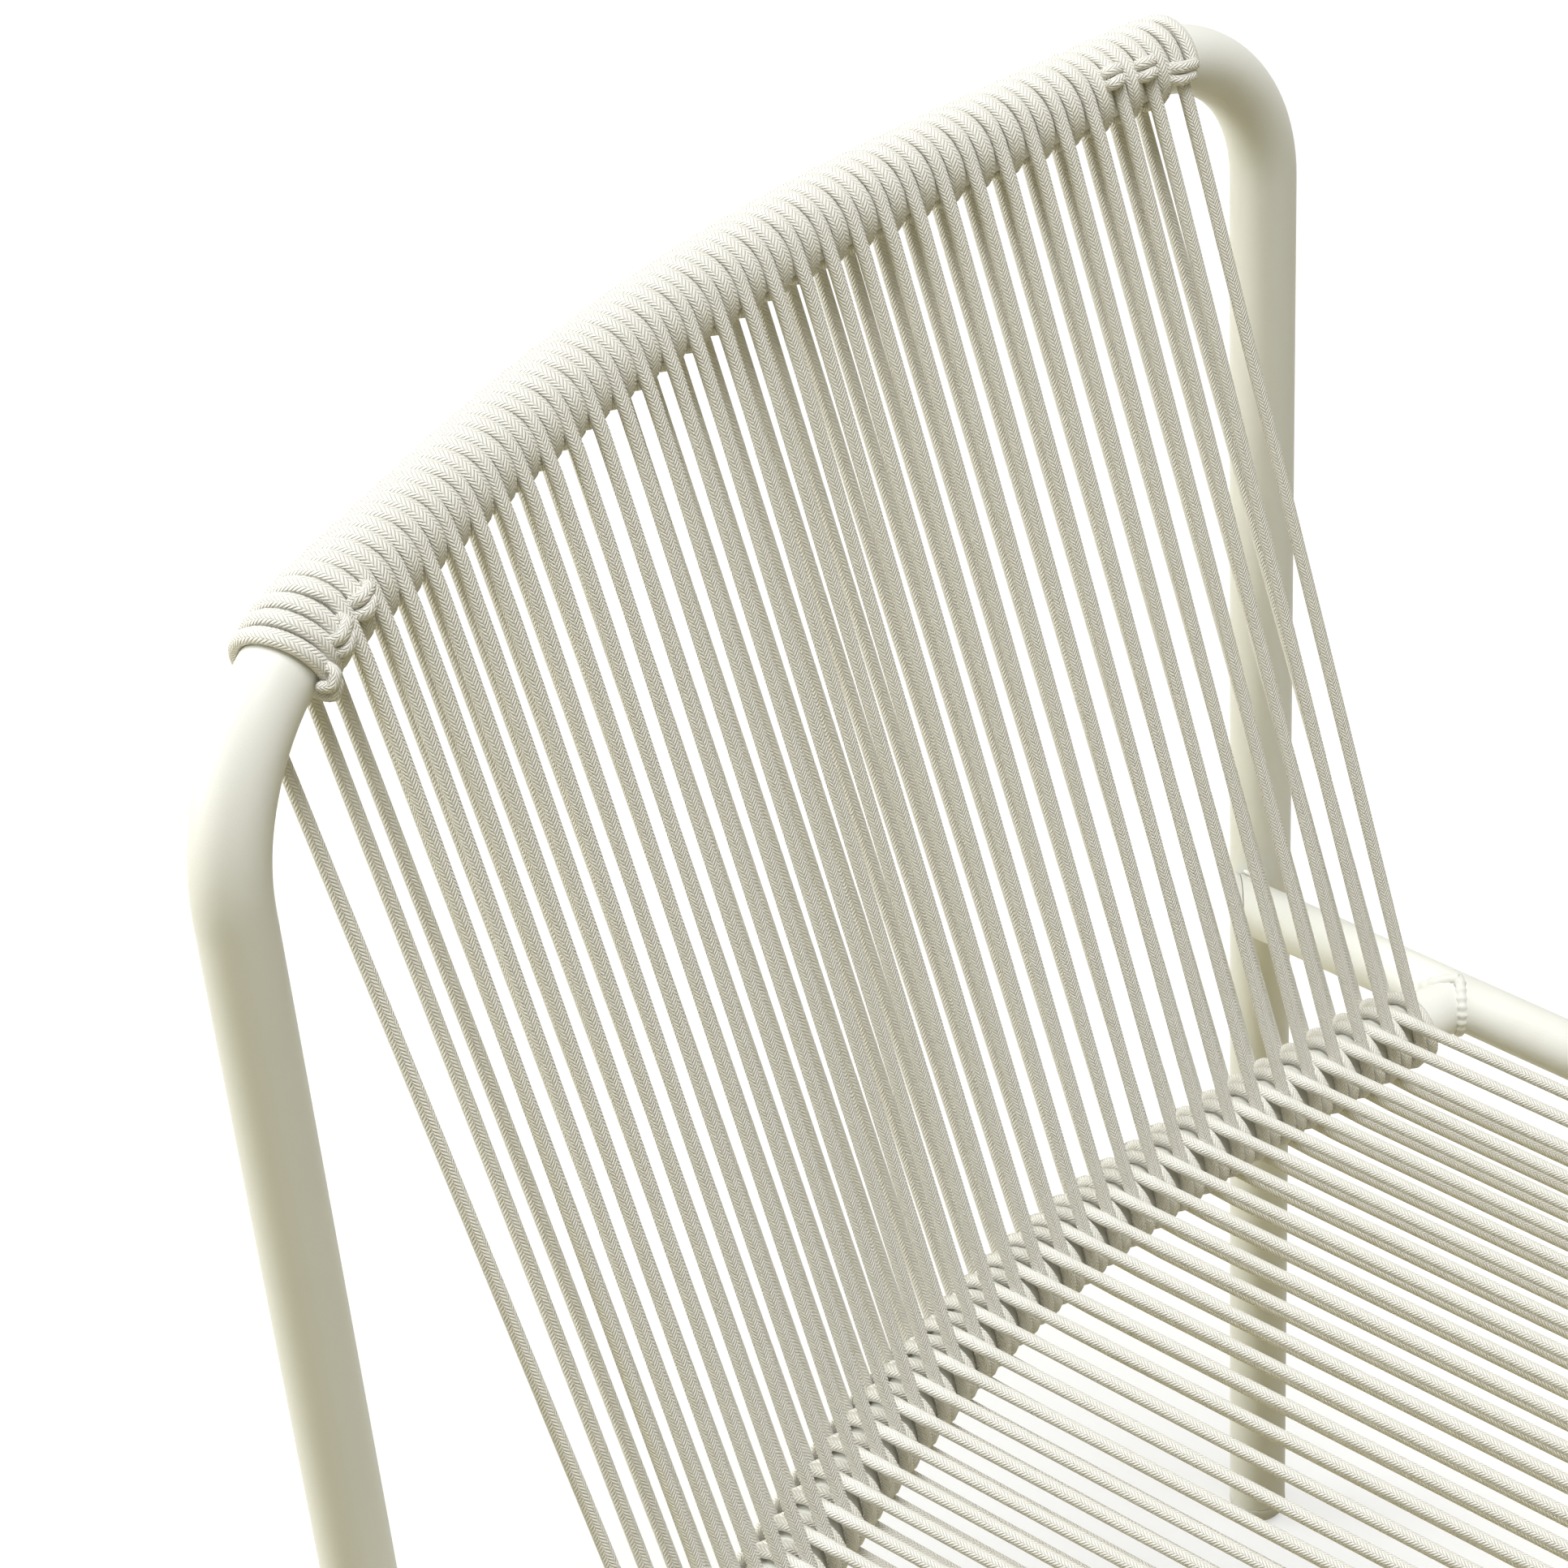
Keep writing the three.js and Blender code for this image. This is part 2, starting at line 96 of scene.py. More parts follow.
SIDE_HALF_SPAN = 248.8
REAR_RAIL_BOW = 43.0
REAR_RAIL_DIP = 4.0
REAR_RAIL_FLARE = 1.24
SEAT_DEPTH = 400.0
SEAT_RISE = 0.05
FRONT_CORNER = -470.0
FRONT_CORNER_RADIUS = 50.0
FRONT_LEG_LEAN = 10.0
FRONT_LEG_SPLAY = 8.0
GLIDE_HEIGHT = 8.0


def to_scene(points):
    return (np.asarray(points, float) + REAR_RAIL_MIDDLE) * MILLIMETRE


def unit(vectors):
    vectors = np.asarray(vectors, float)
    return vectors / np.linalg.norm(vectors, axis=-1, keepdims=True)


rail_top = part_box("rear_rail")[1].z
print("top of the rear rail:", round(rail_top, 4), "m above the floor")

# %% [markdown]
# ## Camera
#
# The picture looks down on the back of the chair from its right front side, with a long
# lens that leaves most of the seat out. The camera's place and its three angles were
# fitted to the lines of the rails and posts. We build its axes from those angles, so
# that the small roll is easy to see and change.

# %% Camera
CAMERA_PLACE = (-0.97366, -0.44558, 1.50266)
CAMERA_TURN = math.radians(-53.7077)
CAMERA_DIP = math.radians(38.6056)
CAMERA_ROLL = math.radians(2.4927)
CAMERA_LENS = 100.42
SENSOR_WIDTH = 36.0

ahead = np.array([
    -math.sin(CAMERA_TURN) * math.cos(CAMERA_DIP),
    math.cos(CAMERA_TURN) * math.cos(CAMERA_DIP),
    -math.sin(CAMERA_DIP),
])
level_right = np.array([math.cos(CAMERA_TURN), math.sin(CAMERA_TURN), 0.0])
level_up = np.cross(level_right, ahead)
camera_right = math.cos(CAMERA_ROLL) * level_right + math.sin(CAMERA_ROLL) * level_up
camera_up = math.cos(CAMERA_ROLL) * level_up - math.sin(CAMERA_ROLL) * level_right

camera_data = bpy.data.cameras.new("camera")
camera_data.sensor_width = SENSOR_WIDTH
camera_data.lens = CAMERA_LENS
camera = bpy.data.objects.new("camera", camera_data)
bpy.context.scene.collection.objects.link(camera)
rows = [list(row) for row in zip(camera_right, camera_up, -ahead, CAMERA_PLACE)]
camera.matrix_world = Matrix([*rows, [0, 0, 0, 1]])
bpy.context.scene.camera = camera
bpy.context.scene.view_settings.view_transform = "Standard"
print("camera height:", CAMERA_PLACE[2], "m")

# %% [markdown]
# ## Light
#
# One wide lamp hangs high above the seat, so the seat and the tops of the wound cord are
# the brightest places. A weaker one behind draws a bright edge along the posts, and
# another in front opens the shade on the strands. The walls of the studio are a dim, warm
# fill, dimmer in front.
#
# The white background is only for the camera and for reflections. Light Path tells the
# world which rays ask for it, and the chair isn't lit any harder by it.

# %% Helpers for node trees
def new_node(tree, kind, **settings):
    node = tree.nodes.new(kind)
    for key, value in settings.items():
        setattr(node, key, value)
    return node


def feed(tree, node, **values):
    for name, value in values.items():
        socket = node.inputs[name.replace("_", " ")]
        if isinstance(value, bpy.types.NodeSocket):
            tree.links.new(value, socket)
        else:
            socket.default_value = value
    return node


def calculate(tree, kind, operation, *values):
    node = new_node(tree, kind, operation=operation)
    for socket, value in zip(node.inputs, values):
        if isinstance(value, bpy.types.NodeSocket):
            tree.links.new(value, socket)
        else:
            socket.default_value = value
    return node


def maths(tree, operation, *values):
    return calculate(tree, "ShaderNodeMath", operation, *values).outputs[0]


def vectors(tree, operation, *values):
    return calculate(tree, "ShaderNodeVectorMath", operation, *values).outputs["Vector"]


def between(tree, share, low, high):
    kind = "RGBA" if isinstance(low, tuple) else "FLOAT"
    node = new_node(tree, "ShaderNodeMix", data_type=kind)
    shown = [socket for socket in node.inputs if socket.enabled]
    tree.links.new(share, shown[0])
    shown[1].default_value = low
    shown[2].default_value = high
    return [socket for socket in node.outputs if socket.enabled][0]


def asks_for_white(tree):
    rays = new_node(tree, "ShaderNodeLightPath").outputs
    camera_or_gloss = maths(tree, "MAXIMUM", rays["Is Camera Ray"], rays["Is Glossy Ray"])
    return maths(tree, "MAXIMUM", camera_or_gloss, rays["Is Transmission Ray"])


print("helpers ready")

# %% World
STUDIO_FILL = (1.0, 0.9, 0.46, 1)
FILL_IN_FRONT = 0.05
FILL_BEHIND = 0.36

world = bpy.data.worlds.new("studio")
bpy.context.scene.world = world
world.use_nodes = True
tree = world.node_tree
tree.nodes.clear()
way = feed(tree, new_node(tree, "ShaderNodeSeparateXYZ"),
           Vector=new_node(tree, "ShaderNodeTexCoord").outputs["Generated"])
behind = maths(tree, "ADD", 0.5, maths(tree, "MULTIPLY", way.outputs["Y"], 0.5))
strength = maths(tree, "ADD", FILL_IN_FRONT, maths(
    tree, "MULTIPLY", behind, FILL_BEHIND - FILL_IN_FRONT))
fill = feed(tree, new_node(tree, "ShaderNodeBackground"), Color=STUDIO_FILL,
            Strength=strength)
white = feed(tree, new_node(tree, "ShaderNodeBackground"), Color=(1, 1, 1, 1), Strength=1.0)
mix = new_node(tree, "ShaderNodeMixShader")
tree.links.new(asks_for_white(tree), mix.inputs[0])
tree.links.new(fill.outputs[0], mix.inputs[1])
tree.links.new(white.outputs[0], mix.inputs[2])
output = new_node(tree, "ShaderNodeOutputWorld")
tree.links.new(mix.outputs[0], output.inputs["Surface"])
print("fill in front and behind:", FILL_IN_FRONT, FILL_BEHIND)

# %% Lamps
LAMPS = {
    "lamp_above": dict(place=(-0.6, -0.2, 8.0), size=4.8, power=565, colour=(0.95, 0.965, 1.0)),
    "lamp_front": dict(place=(-1.4, -1.3, 4.3), size=2.0, power=28, colour=(0.95, 0.965, 1.0)),
    "lamp_behind": dict(place=(-1.6, 2.9, 1.2), size=1.8, power=74, colour=(0.93, 0.96, 1.0)),
}
LAMP_TARGET = np.array([0.0, 0.15, 0.6])

for name, lamp in LAMPS.items():
    light = bpy.data.lights.new(name, "AREA")
    light.shape = "DISK"
    light.size = lamp["size"]
    light.energy = lamp["power"]
    light.color = lamp["colour"]
    holder = bpy.data.objects.new(name, light)
    bpy.context.scene.collection.objects.link(holder)
    holder.location = lamp["place"]
    x, y, z = LAMP_TARGET - np.array(lamp["place"])
    tilt = math.pi / 2 + math.atan2(z, math.hypot(x, y))
    holder.rotation_euler = (tilt, 0, math.atan2(-x, y))
print("lamps:", ", ".join(LAMPS))

# %% [markdown]
# ## Floor
#
# The floor is a wide pale disc. Its shader is an ordinary pale surface, which catches the
# chair's shadow, with a little light added only for the camera and for reflections. That
# lifts the unshaded floor to white without sending more light back to the chair. The
# light that it does send back is warm, and gives the shade on the cords its khaki tint.

# %% Floor
FLOOR_RADIUS = 9.0
FLOOR_COLOUR = (0.47, 0.47, 0.46, 1)
BOUNCE_COLOUR = (0.47, 0.42, 0.23, 1)
LIFT_COLOUR = (0.97, 0.975, 1.0, 1)
FLOOR_LIFT = 0.55
FLOOR_SIDES = 96

paint = bpy.data.materials.new("studio_floor")
paint.use_nodes = True
tree = paint.node_tree
tree.nodes.clear()
shows_white = asks_for_white(tree)
lift = feed(tree, new_node(tree, "ShaderNodeEmission"), Color=LIFT_COLOUR,
            Strength=maths(tree, "MULTIPLY", shows_white, FLOOR_LIFT))
matte = feed(tree, new_node(tree, "ShaderNodeBsdfDiffuse"),
             Color=between(tree, shows_white, BOUNCE_COLOUR, FLOOR_COLOUR))
both = new_node(tree, "ShaderNodeAddShader")
tree.links.new(matte.outputs[0], both.inputs[0])
tree.links.new(lift.outputs[0], both.inputs[1])
output = new_node(tree, "ShaderNodeOutputMaterial")
tree.links.new(both.outputs[0], output.inputs["Surface"])

angles = np.arange(FLOOR_SIDES) * 2 * math.pi / FLOOR_SIDES
rim = [(FLOOR_RADIUS * math.cos(a), FLOOR_RADIUS * math.sin(a), 0.0) for a in angles]
floor_mesh = bpy.data.meshes.new("floor")
floor_mesh.from_pydata(rim, [], [list(range(FLOOR_SIDES))])
floor_mesh.materials.append(paint)
floor = bpy.data.objects.new("floor", floor_mesh)
bpy.context.scene.collection.objects.link(floor)
print("floor across:", 2 * FLOOR_RADIUS, "m")

# %% [markdown]
# ## Braided cover
#
# The cord has a braided cover: bundles of thread cross at an angle, and their edges meet
# in rows of V shapes along the cord. Such a fine pattern could be modelled, but a bump
# does it at a hundredth of the cost. The pattern has to run along the cord wherever the
# cord goes, so it can't use the place in the room. Each point of the cord carries two
# attributes instead: how far along it lies, and its place on the ring round the cord.
#
# It is a node group with its own inputs, so that a thicker or a thinner cord could use the
# same pattern with another pitch and another number of columns. Its Groove output also
# darkens the cord's colour in the grooves, which is painted shade.

# %% Braid group
CROWN_POWER = 0.55
CREASE_SHARPNESS = 7.0
CREASE_FLOOR = 0.72


def braid_group():
    tree = bpy.data.node_groups.new("Braided cover", "ShaderNodeTree")
    sockets = {"Run": "Float", "Ring": "Vector", "Pitch": "Float", "Columns": "Float",
               "Slant": "Float"}
    for name, kind in sockets.items():
        tree.interface.new_socket(name=name, in_out="INPUT", socket_type="NodeSocket" + kind)
    for name in ("Height", "Groove"):
        tree.interface.new_socket(name=name, in_out="OUTPUT", socket_type="NodeSocketFloat")
    given = new_node(tree, "NodeGroupInput").outputs
    ring = feed(tree, new_node(tree, "ShaderNodeSeparateXYZ"), Vector=given["Ring"])
    angle = maths(tree, "ARCTAN2", ring.outputs["Y"], ring.outputs["X"])
    turned = maths(tree, "DIVIDE", angle, 2 * math.pi)
    column = maths(tree, "FRACT", maths(tree, "MULTIPLY", turned, given["Columns"]))
    arm = maths(tree, "MULTIPLY", 2.0, maths(
        tree, "ABSOLUTE", maths(tree, "SUBTRACT", column, 0.5)))
    other_side = maths(tree, "MULTIPLY", 0.5, maths(tree, "GREATER_THAN", column, 0.5))
    along = maths(tree, "DIVIDE", given["Run"], given["Pitch"])
    leaning = maths(tree, "SUBTRACT", along, maths(tree, "MULTIPLY", arm, given["Slant"]))
    phase = maths(tree, "ADD", leaning, other_side)
    ridge = maths(tree, "ABSOLUTE", maths(
        tree, "SINE", maths(tree, "MULTIPLY", phase, math.pi)))
    crown = maths(tree, "POWER", ridge, CROWN_POWER)
    edge = maths(tree, "MINIMUM", arm, maths(tree, "SUBTRACT", 1.0, arm))
    crease = maths(tree, "MINIMUM", 1.0, maths(tree, "MULTIPLY", edge, CREASE_SHARPNESS))
    dip = maths(tree, "ADD", CREASE_FLOOR, maths(tree, "MULTIPLY", crease, 1 - CREASE_FLOOR))
    height = maths(tree, "MULTIPLY", crown, dip)
    result = new_node(tree, "NodeGroupOutput")
    tree.links.new(height, result.inputs["Height"])
    tree.links.new(maths(tree, "SUBTRACT", 1.0, height), result.inputs["Groove"])
    return tree


BRAID = braid_group()
print("braid group inputs and outputs:", len(BRAID.interface.items_tree))

# %% [markdown]
# ## Grain
#
# Powder paint sets with a fine, even orange peel, and moulded plastic has a similar but
# coarser skin. One group gives both: fine grain for the bump, and a slow, faint change
# for the colour and the gloss, so that no surface is one flat value.

# %% Grain group
def grain_group():
    tree = bpy.data.node_groups.new("Fine grain", "ShaderNodeTree")
    for name in ("Grain Scale", "Patch Scale"):
        tree.interface.new_socket(name=name, in_out="INPUT", socket_type="NodeSocketFloat")
    for name in ("Grain", "Patch"):
        tree.interface.new_socket(name=name, in_out="OUTPUT", socket_type="NodeSocketFloat")
    given = new_node(tree, "NodeGroupInput").outputs
    place = new_node(tree, "ShaderNodeTexCoord").outputs["Object"]
    result = new_node(tree, "NodeGroupOutput")
    for name, detail in (("Grain", 2.0), ("Patch", 3.0)):
        noise = feed(tree, new_node(tree, "ShaderNodeTexNoise"), Vector=place,
                     Scale=given[name + " Scale"], Detail=detail)
        tree.links.new(noise.outputs["Fac"], result.inputs[name])
    return tree


GRAIN = grain_group()
print("grain group ready")

# %% [markdown]
# ## Finishes
#
# There are three finishes: painted steel, the matte plastic of glides and plugs, and
# braided cord. The first two differ only in their values. Values that are the same all
# over a surface are typed into the shader's own sockets. Only what changes over the
# surface comes from the groups.

# %% A helper that starts a finish
def place_group(tree, group, **values):
    node = new_node(tree, "ShaderNodeGroup", node_tree=group)
    return feed(tree, node, **values)


def new_finish(name, specular):
    material = bpy.data.materials.new(name)
    material.use_nodes = True
    tree = material.node_tree
    shader = tree.nodes["Principled BSDF"]
    feed(tree, shader, Specular_IOR_Level=specular)
    return material, tree, shader


print("finish helpers ready")

# %% Painted steel and matte plastic
def grainy_finish(name, specular, scales, colours, roughness, strength, depth):
    material, tree, shader = new_finish(name, specular)
    skin = place_group(tree, GRAIN, Grain_Scale=scales[0], Patch_Scale=scales[1])
    bump = feed(tree, new_node(tree, "ShaderNodeBump"), Strength=strength, Distance=depth,
                Height=skin.outputs["Grain"])
    feed(tree, shader, Base_Color=between(tree, skin.outputs["Patch"], *colours),
         Roughness=between(tree, skin.outputs["Patch"], *roughness),
         Normal=bump.outputs["Normal"])
    return material


steel = grainy_finish(
    "painted_steel", specular=0.25, scales=(1500.0, 14.0), roughness=(0.34, 0.5),
    colours=((0.77, 0.775, 0.73, 1), (0.83, 0.83, 0.785, 1)), strength=0.16, depth=0.0004)
plastic = grainy_finish(
    "matte_plastic", specular=0.4, scales=(900.0, 40.0), roughness=(0.45, 0.62),
    colours=((0.66, 0.66, 0.62, 1), (0.72, 0.72, 0.68, 1)), strength=0.2, depth=0.0003)
print("grainy finishes:", steel.name, plastic.name)

# %% Braided cord
BRAID_PITCH = 1.45
BRAID_COLUMNS = 4.0
BRAID_SLANT = 1.35
BRAID_DEPTH = 0.00045
BRAID_STRENGTH = 0.9
FIBRE_SHARE = 0.35
SHADE_LOW = 0.7
SHADE_SPAN = 0.6
RIDGE_COLOUR = (0.915, 0.905, 0.86, 1)
# Painted shade: the darker colour that the cord takes in the grooves of the braid.
GROOVE_SHADE_COLOUR = (0.75, 0.715, 0.61, 1)
CORD_ROUGHNESS = (0.62, 0.85)
CORD_SPECULAR = 0.2


def cord_finish(name):
    material, tree, shader = new_finish(name, CORD_SPECULAR)
    run = new_node(tree, "ShaderNodeAttribute", attribute_name="run")
    ring = new_node(tree, "ShaderNodeAttribute", attribute_name="ring")
    cover = place_group(tree, BRAID, Run=run.outputs["Fac"], Ring=ring.outputs["Vector"],
                        Pitch=BRAID_PITCH, Columns=BRAID_COLUMNS, Slant=BRAID_SLANT)
    fibre = place_group(tree, GRAIN, Grain_Scale=2600.0, Patch_Scale=60.0)
    depth = maths(tree, "ADD", cover.outputs["Height"],
                  maths(tree, "MULTIPLY", fibre.outputs["Grain"], FIBRE_SHARE))
    # The colour darkens towards the grooves of the braid, which is painted shade; the patch
    # noise varies its depth at random.
    shade = maths(tree, "MULTIPLY", cover.outputs["Groove"], maths(
        tree, "ADD", SHADE_LOW, maths(
            tree, "MULTIPLY", fibre.outputs["Patch"], SHADE_SPAN)))
    bump = feed(tree, new_node(tree, "ShaderNodeBump"), Strength=BRAID_STRENGTH,
                Distance=BRAID_DEPTH, Height=depth)
    feed(tree, shader, Base_Color=between(tree, shade, RIDGE_COLOUR, GROOVE_SHADE_COLOUR),
         Roughness=between(tree, cover.outputs["Groove"], *CORD_ROUGHNESS),
         Normal=bump.outputs["Normal"], Sheen_Weight=0.12, Sheen_Roughness=0.5)
    return material


cord = cord_finish("braided_cord")
print("V shapes along a metre of cord:", round(1 / (BRAID_PITCH * MILLIMETRE)))

# %% [markdown]
# ## One tree for everything that follows a line
#
# Tubes, cords, weld beads and turned feet are all a round section that follows a line.
# One Geometry Nodes tree makes them all. Its input is a mesh of loose edges. Each point
# says how wide and how thick the section is there, and which way is out. The tree sweeps
# a ring along the line, then moves each point of the ring to its exact place. A plain
# curve bevel can't do this, because a cord that is pressed on a tube is wider than thick,
# and must not twist.

# %% Sweep tree
SIZES = ("half_wide", "half_thick")


def read(tree, name, kind="FLOAT"):
    node = new_node(tree, "GeometryNodeInputNamedAttribute", data_type=kind)
    node.inputs["Name"].default_value = name
    return node.outputs["Attribute"]


def store(tree, geometry, name, value):
    node = new_node(tree, "GeometryNodeStoreNamedAttribute", data_type="FLOAT_VECTOR",
                    domain="POINT")
    feed(tree, node, Geometry=geometry, Name=name, Value=value)
    return node.outputs["Geometry"]


def ring_place(tree):
    heading = read(tree, "heading", "FLOAT_VECTOR")
    out = read(tree, "out", "FLOAT_VECTOR")
    ring = feed(tree, new_node(tree, "ShaderNodeSeparateXYZ"),
                Vector=read(tree, "ring", "FLOAT_VECTOR"))
    outward = vectors(tree, "NORMALIZE", vectors(
        tree, "SUBTRACT", out, vectors(tree, "PROJECT", out, heading)))
    across = vectors(tree, "CROSS_PRODUCT", heading, outward)
    place = read(tree, "spot", "FLOAT_VECTOR")
    for size, axis, share in (("half_thick", outward, "X"), ("half_wide", across, "Y")):
        reach = maths(tree, "MULTIPLY", read(tree, size), ring.outputs[share])
        scaled = new_node(tree, "ShaderNodeVectorMath", operation="SCALE")
        feed(tree, scaled, Vector=axis, Scale=reach)
        place = vectors(tree, "ADD", place, scaled.outputs["Vector"])
    return place


def sweep_tree():
    tree = bpy.data.node_groups.new("Section along a line", "GeometryNodeTree")
    tree.is_modifier = True
    tree.interface.new_socket(name="Line", in_out="INPUT", socket_type="NodeSocketGeometry")
    for name, kind in (("Sides", "Int"), ("Fold", "Float"), ("Finish", "Material")):
        tree.interface.new_socket(name=name, in_out="INPUT", socket_type="NodeSocket" + kind)
    tree.interface.new_socket(name="Piece", in_out="OUTPUT", socket_type="NodeSocketGeometry")
    given = new_node(tree, "NodeGroupInput").outputs
    curve = feed(tree, new_node(tree, "GeometryNodeMeshToCurve"), Mesh=given["Line"])
    here = new_node(tree, "GeometryNodeInputPosition").outputs["Position"]
    heading = new_node(tree, "GeometryNodeInputTangent").outputs["Tangent"]
    line = store(tree, curve.outputs["Curve"], "spot", here)
    line = store(tree, line, "heading", heading)
    circle = feed(tree, new_node(tree, "GeometryNodeCurvePrimitiveCircle"),
                  Resolution=given["Sides"], Radius=1.0)
    profile = store(tree, circle.outputs["Curve"], "ring", here)
    swept = feed(tree, new_node(tree, "GeometryNodeCurveToMesh"), Curve=line,
                 Profile_Curve=profile, Fill_Caps=True)
    placed = feed(tree, new_node(tree, "GeometryNodeSetPosition"),
                  Geometry=swept.outputs["Mesh"], Position=ring_place(tree))
    faces = new_node(tree, "GeometryNodeSetShadeSmooth", domain="FACE")
    feed(tree, faces, Geometry=placed.outputs["Geometry"], Shade_Smooth=True)
    angle = new_node(tree, "GeometryNodeInputMeshEdgeAngle").outputs["Unsigned Angle"]
    edges = new_node(tree, "GeometryNodeSetShadeSmooth", domain="EDGE")
    feed(tree, edges, Geometry=faces.outputs["Geometry"], Shade_Smooth=False,
         Selection=maths(tree, "GREATER_THAN", angle, given["Fold"]))
    body = edges.outputs["Geometry"]
    for name in ("spot", "heading", "out", *SIZES):
        removal = new_node(tree, "GeometryNodeRemoveAttribute")
        body = feed(tree, removal, Geometry=body, Name=name).outputs["Geometry"]
    real = feed(tree, new_node(tree, "GeometryNodeRealizeInstances"), Geometry=body)
    dressed = feed(tree, new_node(tree, "GeometryNodeSetMaterial"),
                   Geometry=real.outputs["Geometry"], Material=given["Finish"])
    result = new_node(tree, "NodeGroupOutput")
    tree.links.new(dressed.outputs["Geometry"], result.inputs["Piece"])
    return tree


SWEEP = sweep_tree()
SWEEP_INPUT = {item.name: item.identifier for item in SWEEP.interface.items_tree}
print("sweep inputs:", list(SWEEP_INPUT))

# %% [markdown]
# A line is a small record of points with their sizes. The next helper turns one or more
# of them into a mesh of edges, gives it the tree as a modifier, and keeps the result as
# a plain mesh.

# %% From lines to a piece
FOLD_ANGLE = 0.7
SMALLEST_TIP = 0.08
CUT_TOLERANCE = 1e-7
RIM_SEGMENTS = 3


def make_line(points, out, half_wide, half_thick=None, closed=False, run=None):
    points = np.asarray(points, float)
    count = len(points)
    if half_thick is None:
        half_thick = half_wide
    if run is None:
        steps = np.linalg.norm(np.diff(points, axis=0), axis=1)
        run = np.concatenate([[0.0], np.cumsum(steps)])
    return dict(points=points, out=np.broadcast_to(out, (count, 3)), closed=closed,
                half_wide=np.broadcast_to(half_wide, count),
                half_thick=np.broadcast_to(half_thick, count), run=run)


def rounded_ends(points, out, wide, thick, cap_steps=4):
    ends = []
    for sense, index in ((-1, 0), (1, -1)):
        near = points[1] if index == 0 else points[-2]
        way = unit(points[index] - near)
        angle = np.linspace(0, math.pi / 2, cap_steps + 1)[1:]
        tip = points[index] + way * np.sin(angle)[:, None] * thick[index]
        shrink = np.maximum(np.cos(angle), SMALLEST_TIP)
        block = [tip, np.tile(out[index], (cap_steps, 1)), wide[index] * shrink,
                 thick[index] * shrink]
        ends.append([values[::-1] for values in block] if sense < 0 else block)
    middle = (points, out, wide, thick)
    return [np.concatenate(parts) for parts in zip(ends[0], middle, ends[1])]


def line_mesh(name, lines):
    edges = []
    first = 0
    for line in lines:
        count = len(line["points"])
        edges += [(first + i, first + i + 1) for i in range(count - 1)]
        if line["closed"]:
            edges.append((first + count - 1, first))
        first += count
    mesh = bpy.data.meshes.new(name)
    points = to_scene(np.concatenate([line["points"] for line in lines]))
    mesh.from_pydata(points.tolist(), edges, [])
    out = mesh.attributes.new("out", "FLOAT_VECTOR", "POINT")
    out.data.foreach_set("vector", np.concatenate([line["out"] for line in lines]).ravel())
    for key, scale in (("half_wide", MILLIMETRE), ("half_thick", MILLIMETRE), ("run", 1.0)):
        values = mesh.attributes.new(key, "FLOAT", "POINT")
        values.data.foreach_set("value", np.concatenate([line[key] for line in lines]) * scale)
    return mesh


def sweep(name, lines, sides, finish, floor_cut=False):
    source = bpy.data.objects.new(name + "_line", line_mesh(name + "_line", lines))
    bpy.context.scene.collection.objects.link(source)
    modifier = source.modifiers.new("Sweep", "NODES")
    modifier.node_group = SWEEP
    modifier[SWEEP_INPUT["Sides"]] = sides
    modifier[SWEEP_INPUT["Fold"]] = FOLD_ANGLE
    modifier[SWEEP_INPUT["Finish"]] = finish
    ready = source.evaluated_get(bpy.context.evaluated_depsgraph_get())
    mesh = bpy.data.meshes.new_from_object(ready)
    mesh.name = name
    bpy.data.objects.remove(source)
    if floor_cut:
        for vertex in mesh.vertices:
            vertex.co.z = max(vertex.co.z, 0.0)
    piece = bpy.data.objects.new(name, mesh)
    bpy.context.scene.collection.objects.link(piece)
    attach(piece, "root")
    return piece


def cut_behind(piece, place, behind, edge=0.0):
    mesh = bmesh.new()
    mesh.from_mesh(piece.data)
    cut = bmesh.ops.bisect_plane(
        mesh, geom=[*mesh.verts, *mesh.edges, *mesh.faces], clear_outer=True,
        plane_co=to_scene(place), plane_no=Vector(behind), dist=CUT_TOLERANCE)
    rim = [item for item in cut["geom_cut"] if isinstance(item, bmesh.types.BMEdge)]
    bmesh.ops.contextual_create(mesh, geom=rim)
    if edge:
        rounded = bmesh.ops.bevel(
            mesh, geom=rim, offset=edge * MILLIMETRE, segments=RIM_SEGMENTS, profile=0.5,
            affect="EDGES", clamp_overlap=True)
        for face in rounded["faces"]:
            face.smooth = True
    else:
        for side in rim:
            side.smooth = False
    bmesh.ops.recalc_face_normals(mesh, faces=mesh.faces)
    mesh.to_mesh(piece.data)
    mesh.free()


def triangles(piece):
    return sum(len(face.vertices) - 2 for face in piece.data.polygons)


def count_named(part):
    return sum(part in item.name for item in bpy.context.scene.objects)


print("fold angle:", FOLD_ANGLE, "radians")

# %% [markdown]
# ## Lines of the frame
#
# The back hoop is one bent tube: two straight posts that lean back and a top rail that is
# bowed. The rear rail has its own, flatter bow. Both bows follow one formula, in which the
# rail's middle lies behind and a little below its ends.

# %% Bowed rails and round corners
def bowed_line(x, half_span, end_y, end_z, bow, dip, flare):
    across = (x / half_span) ** 2
    advance = flare * across - (flare - 1) * across ** 2
    return np.stack([x, end_y + bow * (1 - advance), end_z - dip * (1 - across)], axis=-1)


def post_point(side, height):
    out = POST_HALF_SPAN + POST_SPLAY * height
    return np.array([side * out, POST_SETBACK + POST_LEAN * height, height])


TOP_CORNER = post_point(1, BACK_HEIGHT)


def top_rail_line(x):
    return bowed_line(x, *TOP_CORNER, TOP_RAIL_BOW, TOP_RAIL_DIP, TOP_RAIL_FLARE)


def rear_rail_line(x):
    return bowed_line(x, SIDE_HALF_SPAN, -REAR_RAIL_BOW, REAR_RAIL_DIP, REAR_RAIL_BOW,
                      REAR_RAIL_DIP, REAR_RAIL_FLARE)


